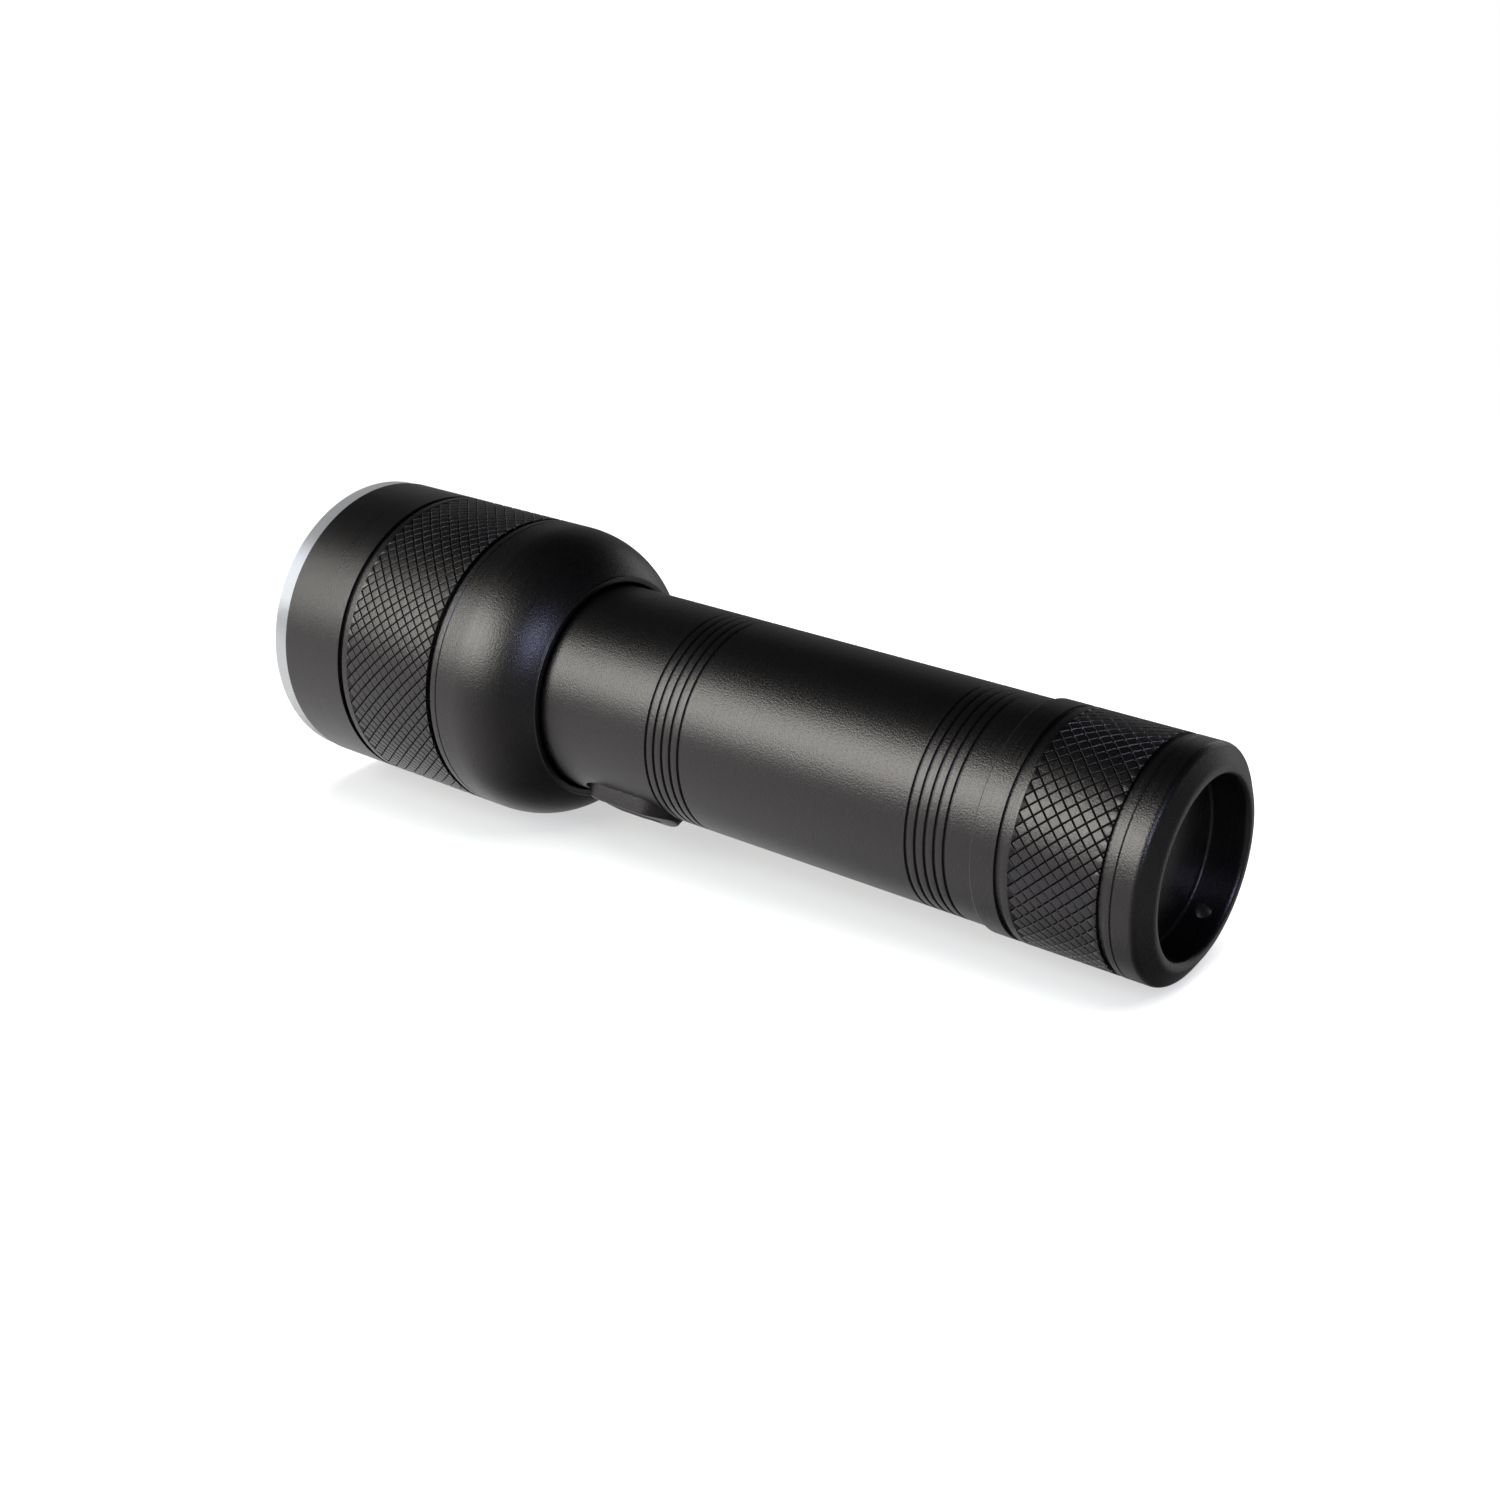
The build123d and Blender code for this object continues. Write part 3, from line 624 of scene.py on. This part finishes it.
def knurled_band(start, end, radius, groove_depth):
    """Corners of a relief groove, a land, the bed that a knurled ring fills and a second groove."""
    floor = radius - groove_depth
    bed = floor - knurl_bed
    knurl_start = start + groove_width + knurl_land
    return [
        (start, radius, groove_round), (start, floor, groove_round),
        (start + groove_width, floor, groove_round), (start + groove_width, radius, groove_round),
        (knurl_start, radius, 0), (knurl_start, bed, 0), (end, bed, 0), (end, floor, groove_round),
        (end + groove_width, floor, groove_round), (end + groove_width, radius, groove_round),
    ]


def fine_line(start, radius):
    """Corners of one fine turned line."""
    return [
        (start, radius, 0), (start + fine_line_width / 2, radius - fine_line_depth, 0),
        (start + fine_line_width, radius, 0),
    ]


def bezel_ring():
    """The bare ring that holds the lens, with a flared mouth and a spigot in the sleeve."""
    return piece("bezel_ring_turned", lathe(rounded(
        (head_front, bezel_bore_radius + bezel_flare, 0.12),
        (head_front, bezel_radius, 0.3),
        (sleeve_front, bezel_radius, 0.08),
        (sleeve_front, bezel_spigot_radius, 0),
        (bezel_spigot_end, bezel_spigot_radius, 0.1),
        (bezel_spigot_end, bezel_bore_radius, 0.1),
        (sleeve_front, bezel_bore_radius, 0.3),
    )), "head", "bare_aluminium", "bezel_ring")


def lens():
    """The lens: a dome in front of a flat rim and a flat back."""
    height = lens_rim_front - lens_apex
    radius = (height ** 2 + lens_dome_radius ** 2) / (2 * height)
    outline = []
    for step in range(LENS_STEPS + 1):
        r = lens_dome_radius * sin(step / LENS_STEPS * pi / 2)
        outline.append((lens_apex + radius - sqrt(radius ** 2 - r ** 2), r))
    # the last two corners only give the rounding its direction, and fall away
    outline += rounded(
        (lens_rim_front, lens_radius, 0.15), (lens_seat, lens_radius, 0.15),
        (lens_seat, lens_radius / 2, 0), (lens_rim_front, lens_radius / 2, 0),
    )[:-2]
    outline.append((lens_seat, 0))
    return piece("lens_clear", lathe(outline), "head", "lens_glass", "lens")


def lens_seal():
    """The seal between the bezel's spigot and the lens."""
    inner = bezel_bore_radius
    return piece("lens_seal_ring", lathe(rounded(
        (gasket_front, inner, 0.3), (gasket_front, gasket_radius, 0.3),
        (gasket_rear, gasket_radius, 0.3), (gasket_rear, inner, 0.3),
    )), "head", "seal_rubber", "lens_seal")


def head_sleeve():
    """The sliding head: smooth band, knurled band between two grooves, and domed shoulder."""
    groove_start = sleeve_front + front_band_length
    knurl_start = groove_start + groove_width + knurl_land
    knurl_end = knurl_start + head_knurl_length
    line_start = knurl_end + 2 * groove_width
    dome_start = (head_rear - shoulder_dome_length, head_radius)
    dome_end = (head_rear - 0.3, shoulder_rim_radius)
    outline = rounded(
        (sleeve_front, sleeve_thread_radius, 0.1),
        (sleeve_front, head_radius, edge_round),
        *knurled_band(groove_start, knurl_end, head_radius, head_groove_depth),
        *fine_line(line_start, head_radius),
        (*dome_start, 0),
    )
    outline += dome_arc(dome_start, dome_end)
    outline += rounded(
        (head_rear, shoulder_rim_radius - 0.2, 0.12),
        (head_rear, guide_radius, 0.3),
        (sleeve_stop, guide_radius, 0),
        (sleeve_stop, sleeve_bore_radius, 0),
        (lens_lip_rear, sleeve_bore_radius, 0),
        (lens_lip_rear, lens_lip_radius, 0.2),
        (lens_seat, lens_lip_radius, 0.2),
        (lens_seat, sleeve_thread_radius, 0),
    )
    bm = lathe(outline)
    bed = head_radius - head_groove_depth - knurl_bed
    absorb(bm, knurl(knurl_start, knurl_end, head_radius, head_knurl_starts, bed))
    return piece("head_sleeve_turned", bm, "head", "black_anodised", "head_sleeve")


def light_engine():
    """The piston that the head slides on: a cup for the board in front, and a groove for its seal."""
    cup_radius = engine_radius - 2.5
    web_rear = board_rear + 3.0
    barrel_thread_radius = spigot_radius + 0.1
    groove_half = 0.9
    groove_floor = engine_radius + 0.05 - 2 * groove_half
    groove_middle = engine_front + 6.5
    return piece("light_engine_turned", lathe(rounded(
        (engine_front, cup_radius, 0.3),
        (engine_front, engine_radius, 0.3),
        (groove_middle - groove_half, engine_radius, 0.1), (groove_middle - groove_half, groove_floor, 0),
        (groove_middle + groove_half, groove_floor, 0), (groove_middle + groove_half, engine_radius, 0.1),
        (engine_rear, engine_radius, 0.3),
        (engine_rear, barrel_thread_radius, 0.3),
        (web_rear, barrel_thread_radius, 0),
        (web_rear, 0, 0),
        (board_rear, 0, 0),
        (board_rear, board_radius + 0.2, 0),
    )), "barrel", "bare_aluminium", "light_engine")


def led_holder():
    """The white ring that centres the emitter, dished towards its window."""
    window = holder_radius - 4.25
    dish_radius = window + 1.4
    return piece("led_holder_moulded", lathe(rounded(
        (holder_rear, window, 0), (holder_rear, holder_radius, 0.1),
        ((holder_front + holder_rear) / 2, holder_radius, 0.3),
        (holder_front, dish_radius, 0.4), (holder_front, window, 0.2),
    )), "barrel", "white_plastic", "led_holder")


def square_plate(rear, front, half, edge):
    """A square plate across the torch axis, chamfered in front and turned with the switch."""
    bm = bmesh.new()
    rings = [[bm.verts.new((rear * MM, 0, 0))]]
    for x, reach in ((rear, half), (front + edge, half), (front, half - edge)):
        corners = ((-reach, -reach), (reach, -reach), (reach, reach), (-reach, reach))
        rings.append([bm.verts.new(Vector((x, y, z)) * MM) for y, z in corners])
    rings.append([bm.verts.new((front * MM, 0, 0))])
    loft(bm, rings)
    bmesh.ops.rotate(bm, verts=bm.verts, matrix=Matrix.Rotation(switch_angle, 4, "X"))
    return bm


def led_emitter():
    """The square ceramic base, the yellow chip on it and the clear dome over both."""
    base_front = emitter_rear - 0.8
    chip_front = base_front - 0.15
    base = square_plate(emitter_rear, base_front, half=2.5, edge=0.12)
    chip = square_plate(base_front, chip_front, half=1.15, edge=0.02)
    dome_radius = 1.9
    dome_height = base_front - emitter_front
    # the dome's foot lies just inside the base, because two faces in one plane render dark
    dome_foot = base_front + 0.03
    outline = []
    for step in range(LED_STEPS + 1):
        angle = step / LED_STEPS * pi / 2
        outline.append((base_front - dome_height * cos(angle), dome_radius * sin(angle)))
    outline += [(dome_foot, dome_radius), (dome_foot, 0)]
    piece("led_base", base, "barrel", "white_plastic", "led_emitter")
    piece("led_chip", chip, "barrel", "led_phosphor")
    piece("led_dome", lathe(outline), "barrel", "lens_glass")


def ring_grooves(middle):
    """Corners of one set of fine grooves round the barrel."""
    half = ring_groove_width / 2
    floor_half = half * ring_groove_floor_share
    floor = barrel_radius - ring_groove_depth
    corners = []
    for number in range(ring_groove_count):
        x = middle + (number - (ring_groove_count - 1) / 2) * ring_groove_pitch
        corners += [
            (x - half, barrel_radius, 0.04), (x - floor_half, floor, 0.1),
            (x + floor_half, floor, 0.1), (x + half, barrel_radius, 0.04),
        ]
    return corners


def with_switch_pocket(bm):
    """The barrel with the pocket for the switch milled into it, and the hole for the key's stem."""
    floor = barrel_radius - pocket_depth
    top = barrel_radius + 3
    mouth = slot_ring(switch_length, switch_width, pocket_gap)
    centre = [(0, 0)]
    cutter = bmesh.new()
    loft(cutter, [on_switch(cutter, points, level) for points, level in (
        (centre, floor), (mouth, floor), (mouth, top), (centre, top),
    )])
    bm = carve(bm, cutter)
    overshoot = 1
    hole_radius = stem_radius + key_clearance
    return drill(bm, switch_x, switch_out, bore_radius - overshoot, floor + overshoot, hole_radius)


def barrel():
    """The tube: front spigot, two sets of fine grooves, and the tail's seal groove and thread."""
    shoulder = cap_front - 0.05
    core_radius = spigot_radius - thread_depth
    bm = lathe(rounded(
        (barrel_front, bore_radius, 0.2),
        (barrel_front, spigot_radius, 0.3),
        (engine_rear, spigot_radius, 0),
        (engine_rear, barrel_radius, 0.15),
        *ring_grooves(switch_rear + front_grooves_from_switch),
        *ring_grooves(cap_front - rear_grooves_from_cap),
        (shoulder, barrel_radius, 0.12),
        (shoulder, spigot_radius, 0.1),
        (seal_front, spigot_radius, 0.05), (seal_front, seal_radius - seal_section, 0),
        (seal_rear, seal_radius - seal_section, 0), (seal_rear, spigot_radius, 0.05),
        (thread_start, spigot_radius, 0.05),
        (thread_start, core_radius, 0.05),
        (barrel_tail, core_radius, 0.2),
        (barrel_tail, bore_radius, 0.2),
    ))
    bm = with_switch_pocket(bm)
    absorb(bm, thread(thread_start, barrel_tail, spigot_radius, thread_depth, thread_pitch))
    return piece("barrel_turned", bm, "barrel", "black_anodised", "barrel")


def tail_seal():
    """The seal in the barrel's tail, a ring of round section."""
    middle = (seal_front + seal_rear) / 2
    half = seal_section / 2
    angles = [tau * step / SEAL_STEPS for step in range(SEAL_STEPS)]
    section = [(middle + half * cos(angle), seal_radius - half + half * sin(angle)) for angle in angles]
    return piece("tail_seal_ring", lathe(section), "barrel", "seal_rubber", "tail_seal")


def switch_top(along):
    """Height of the switch body's top: flat in the middle, rounded down to the barrel at both ends."""
    beyond = max(0, abs(along) - (switch_length / 2 - switch_end_length))
    radius = (switch_end_length ** 2 + switch_end_drop ** 2) / (2 * switch_end_drop)
    return barrel_radius + switch_rise - radius + sqrt(radius ** 2 - beyond ** 2)


def switch_body():
    """The raised oval: leaning sides, a rounded edge, a window for the key and a chamber for its flange."""
    bm = bmesh.new()
    outer = slot_ring(switch_length, switch_width)
    edge = slot_ring(switch_length, switch_width, -(switch_draft + switch_edge_round))
    rim = slot_ring(key_length, key_width, key_clearance + window_chamfer)
    window = slot_ring(key_length, key_width, key_clearance)
    chamber = slot_ring(key_length, key_width, key_clearance + key_flange)
    # towards the ends, where the top falls, the window's wall and the lip stay this thick
    least_wall = 0.3
    least_lip = 0.5
    rings = [on_switch(bm, outer, body_floor), on_switch(bm, outer, switch_draft_from)]
    for step in range(ROUND_STEPS + 1):
        angle = pi / 2 * step / ROUND_STEPS
        inset = switch_draft + switch_edge_round * (1 - cos(angle))
        sunk = switch_edge_round * (1 - sin(angle))
        points = slot_ring(switch_length, switch_width, -inset)
        rings.append(on_switch(bm, points, lambda along: switch_top(along) - sunk))
    for step in range(1, SWITCH_TOP_STEPS + 1):
        t = step / SWITCH_TOP_STEPS
        points = [(a[0] * (1 - t) + b[0] * t, a[1] * (1 - t) + b[1] * t) for a, b in zip(edge, rim)]
        rings.append(on_switch(bm, points, switch_top))
    rings += [
        on_switch(bm, window, lambda along: switch_top(along) - window_chamfer),
        on_switch(bm, window, lambda along: min(lip_height, switch_top(along) - least_wall)),
        on_switch(bm, chamber, lambda along: min(lip_height, switch_top(along) - least_lip)),
        on_switch(bm, chamber, body_floor),
    ]
    loft(bm, rings)
    return piece("switch_body_milled", bm, "barrel", "black_anodised", "switch_body")


def switch_button():
    """The key: a stem, a flange that the body's lip holds captive, and a rounded, crowned top."""
    bm = bmesh.new()
    key_edge = barrel_radius + switch_rise
    flange_top = lip_height - 0.1
    flange_bottom = flange_top - key_flange_thickness
    stem = slot_ring(2 * stem_radius, 2 * stem_radius)
    flange = slot_ring(key_length, key_width, key_flange)
    key = slot_ring(key_length, key_width)
    rings = [on_switch(bm, points, level) for points, level in (
        ([(0, 0)], stem_bottom), (stem, stem_bottom), (stem, flange_bottom),
        (flange, flange_bottom), (flange, flange_top), (key, flange_top),
    )]
    for step in range(ROUND_STEPS + 1):
        angle = pi / 2 * step / ROUND_STEPS
        points = slot_ring(key_length, key_width, -key_round * (1 - cos(angle)))
        rings.append(on_switch(bm, points, key_edge - key_round * (1 - sin(angle))))
    # the crown's last ring stops just short of the key's middle line
    crown_reach = (key_width / 2 - key_round) * 0.999
    for step in range(1, KEY_CROWN_STEPS + 1):
        t = step / KEY_CROWN_STEPS
        points = slot_ring(key_length, key_width, -key_round - crown_reach * sin(t * pi / 2))
        rings.append(on_switch(bm, points, key_edge + key_crown * (1 - (1 - t) ** 2)))
    rings.append(on_switch(bm, [(0, 0)], key_edge + key_crown))
    loft(bm, rings)
    return piece("switch_key", bm, "button", "button_rubber", "switch_button")


def tail_cap():
    """The cap: knurled band between two grooves, chamfered end, recess and lanyard hole."""
    groove_start = cap_front + cap_front_band
    knurl_start = groove_start + groove_width + knurl_land
    knurl_end = knurl_start + cap_knurl_length
    line_start = knurl_end + groove_width + cap_line_from_groove
    recess_floor = cap_end - recess_depth
    cavity_end = recess_floor - cap_floor_thickness
    bm = lathe(rounded(
        (cap_front, cap_bore_radius, 0.2),
        (cap_front, cap_radius, edge_round),
        *knurled_band(groove_start, knurl_end, cap_radius, cap_groove_depth),
        *fine_line(line_start, cap_radius),
        (cap_end - cap_chamfer_length, cap_radius, 0.6),
        (cap_end, end_ring_radius, 0.4),
        (cap_end, recess_radius, 0.8),
        (recess_floor, recess_radius, 0.5),
        (recess_floor, 0, 0),
        (cavity_end, 0, 0),
        (cavity_end, cap_cavity_radius, 0),
        (cap_front + cap_thread_depth, cap_cavity_radius, 0),
        (cap_front + cap_thread_depth, cap_bore_radius, 0),
    ))
    out = Vector((0, cos(lanyard_angle), sin(lanyard_angle)))
    overshoot = 2
    inner, outer = recess_radius - overshoot, cap_radius + overshoot
    bm = drill(bm, cap_end - lanyard_from_end, out, inner, outer, lanyard_radius)
    bed = cap_radius - cap_groove_depth - knurl_bed
    absorb(bm, knurl(knurl_start, knurl_end, cap_radius, cap_knurl_starts, bed))
    return piece("tail_cap_turned", bm, "tail_cap", "black_anodised", "tail_cap")


bezel = bezel_ring()
lens()
lens_seal()
head_sleeve()
light_engine()
led_holder()
led_emitter()
barrel()
tail_seal()
switch_body()
switch_button()
tail_cap()

for row in frame["record"]["subparts"]:
    node = frame["nodes"][row["node"]]
    node.data.materials.clear()
    node.data.materials.append(finish[row["material_slot"]])


# === floor, light and camera =======================================================================

camera_azimuth = radians(37.84)
camera_elevation = radians(23.91)
camera_place = Vector((153.775, -195.057, 106.55))


def floor_white():
    """White seen straight or through glass. Near the torch it also takes its shadow, and from below it
    is clear."""
    made = bpy.data.materials.new("floor_white")
    made.use_nodes = True
    tree = made.node_tree
    tree.nodes.clear()
    path = add(tree, "ShaderNodeLightPath").outputs
    seen = joined(tree, "MAXIMUM", path["Is Camera Ray"], path["Is Transmission Ray"])
    where = add(tree, "ShaderNodeTexCoord").outputs["Object"]
    away = add(tree, "ShaderNodeVectorMath", {0: where}, operation="LENGTH").outputs["Value"]
    near_glow = fade(tree, away, start=80 * MM, end=300 * MM, low=0.55, high=1.0)
    glow_share = joined(tree, "MULTIPLY", seen, near_glow)
    paper = add(tree, "ShaderNodeBsdfDiffuse", {"Color": (0.9, 0.9, 0.9, 1)})
    glow = add(tree, "ShaderNodeEmission", {"Color": (1, 1, 1, 1), "Strength": 1.0})
    white = add(tree, "ShaderNodeMixShader", {
        "Fac": glow_share, 1: paper.outputs["BSDF"], 2: glow.outputs["Emission"],
    })
    behind = add(tree, "ShaderNodeNewGeometry").outputs["Backfacing"]
    clear = add(tree, "ShaderNodeBsdfTransparent")
    one_sided = add(tree, "ShaderNodeMixShader", {
        "Fac": behind, 1: white.outputs["Shader"], 2: clear.outputs["BSDF"],
    })
    add(tree, "ShaderNodeOutputMaterial", {"Surface": one_sided.outputs["Shader"]})
    return made


def white_floor():
    """A white floor that the torch lies on, touching the head and the tail cap, with a soft shadow."""
    head_touch = head_rear - shoulder_dome_length
    tail_touch = cap_end - cap_chamfer_length
    slope = (head_radius - cap_radius) / (tail_touch - head_touch)
    level = -head_radius - slope * head_touch
    reach = 12000
    bm = bmesh.new()
    corners = [bm.verts.new(Vector((x, y, level + slope * x)) * MM) for x, y in (
        (-reach, -reach), (reach, -reach), (reach, reach), (-reach, reach),
    )]
    bm.faces.new(corners)
    floor = bpy.data.objects.new("floor", to_mesh(bm, "floor"))
    bpy.context.scene.collection.objects.link(floor)
    floor.data.materials.append(floor_white())
    floor.visible_glossy = False
    return floor


def studio_world():
    """White where it is seen straight or through glass. As light it is a plain room: a white table, a
    white wall past the head, a pale patch low behind the torch, and little from above."""
    world = bpy.data.worlds.new("studio")
    world.use_nodes = True
    tree = world.node_tree
    where = add(tree, "ShaderNodeTexCoord").outputs["Generated"]
    way = add(tree, "ShaderNodeSeparateXYZ", {"Vector": where}).outputs

    def along(axis, start, end, low, high):
        """Light that changes from low to high along one axis of the direction it comes from."""
        return fade(tree, way[axis], start, end, low, high)

    def product(*values):
        """All these values multiplied."""
        return joined(tree, "MULTIPLY", *values)

    def greatest(*values):
        """The greatest of these values."""
        return joined(tree, "MAXIMUM", *values)

    # the table fades upwards, towards the back and towards the tail, and straight below, in the shade
    far_side = product(along("Y", 0.3, 0.6, 0.0, 0.7), along("X", -0.5, -0.2, 0.0, 1.0))
    table = product(
        along("Z", 0.0, 0.4, 1.0, 0.0),
        along("Y", 0.3, 0.85, 1.0, 0.2),
        along("X", -1.0, 0.5, 1.0, 0.15),
        along("X", 0.1, 0.5, 1.0, 0.5),
        joined(tree, "SUBTRACT", 1.0, far_side),
        along("Z", -1.02, -0.72, 0.15, 1.0),
    )
    # what is left all round: dim above, a little lighter towards the head and below, dark straight below
    around = product(
        greatest(along("Z", 0.0, 0.62, 0.2, 0.012), along("X", -0.9, -0.3, 0.04, 0.012)),
        along("Z", -0.9, -0.4, 0.15, 1.0),
    )
    # the table's far edge, a darker strip at the horizon
    horizon = greatest(along("Z", -0.11, -0.05, 1.0, 0.5), along("Z", 0.04, 0.1, 0.5, 1.0))
    patch = product(
        along("Y", 0.55, 0.85, 0.0, 0.5),
        along("X", -0.1, 0.25, 0.0, 1.0),
        along("Z", -0.8, -0.5, 0.0, 1.0),
        along("Z", 0.0, 0.25, 1.0, 0.0),
    )
    wall = product(along("X", -0.98, -0.85, 1.0, 0.0), along("Z", 0.5, 1.0, 1.0, 0.0))
    light = greatest(product(greatest(table, around), horizon), patch, wall)
    path = add(tree, "ShaderNodeLightPath").outputs
    feed(tree, tree.nodes["Background"], {
        "Color": (1, 1, 1, 1),
        "Strength": greatest(light, path["Is Camera Ray"], path["Is Transmission Ray"]),
    })
    bpy.context.scene.world = world


def softbox(name, way, distance, width, height, power, colour=(1, 1, 1), roll=0):
    """A soft light that shines at the torch from this direction."""
    lamp = bpy.data.lights.new(name, "AREA")
    lamp.shape = "RECTANGLE"
    lamp.size = width * MM
    lamp.size_y = height * MM
    lamp.energy = power
    lamp.color = colour
    made = bpy.data.objects.new(name, lamp)
    bpy.context.scene.collection.objects.link(made)
    way = Vector(way).normalized()
    made.location = way * distance * MM
    turn = way.to_track_quat("Z", "Y") @ Quaternion((0, 0, 1), radians(roll))
    made.rotation_euler = turn.to_euler()
    return made


def shine_on(lamp, lit_object, state="INCLUDE"):
    """Limit a lamp to one object, or keep that object out of its light."""
    lit = bpy.data.collections.new(f"{lamp.name}_on_{lit_object.name}")
    lit.objects.link(lit_object)
    lit.collection_objects[0].light_linking.link_state = state
    lamp.light_linking.receiver_collection = lit


def studio_lights(floor):
    """The key light, which the bezel has its own form of, a card for the bezel, a blue light beside the
    torch, a faint one behind it and one for the floor."""
    key_way = (-0.4, -0.745, 0.53)
    key_light = softbox("key_light", key_way, distance=600, width=550, height=390, power=3.6,
                        colour=(0.97, 1.0, 0.93), roll=10)
    shine_on(key_light, bezel, "EXCLUDE")
    bezel_key = softbox("bezel_key", key_way, distance=600, width=620, height=430, power=1.7,
                        colour=(0.93, 0.97, 1.0))
    shine_on(bezel_key, bezel)
    bezel_card = softbox("bezel_card", (-0.7, 0.3, 0.6), distance=600, width=1000, height=1000, power=1.4)
    shine_on(bezel_card, bezel)
    softbox("side_light", (0.66, -0.5, 0.56), distance=600, width=130, height=140, power=0.75,
            colour=(0.6, 0.68, 1.0))
    softbox("rear_light", (0.05, 0.97, 0.17), distance=700, width=460, height=260, power=0.26)
    floor_light = softbox("floor_light", (0.1, 0.1, 1), distance=900, width=1100, height=1100, power=24)
    shine_on(floor_light, floor)


def camera():
    """The photograph's view: its direction, distance and lens."""
    lens_data = bpy.data.cameras.new("camera")
    lens_data.lens = 50
    lens_data.sensor_width = 36
    made = bpy.data.objects.new("camera", lens_data)
    bpy.context.scene.collection.objects.link(made)
    made.location = camera_place * MM
    made.rotation_euler = (pi / 2 - camera_elevation, 0, camera_azimuth)
    bpy.context.scene.camera = made


camera()
studio_world()
studio_lights(white_floor())
bpy.context.scene.view_settings.view_transform = "Standard"
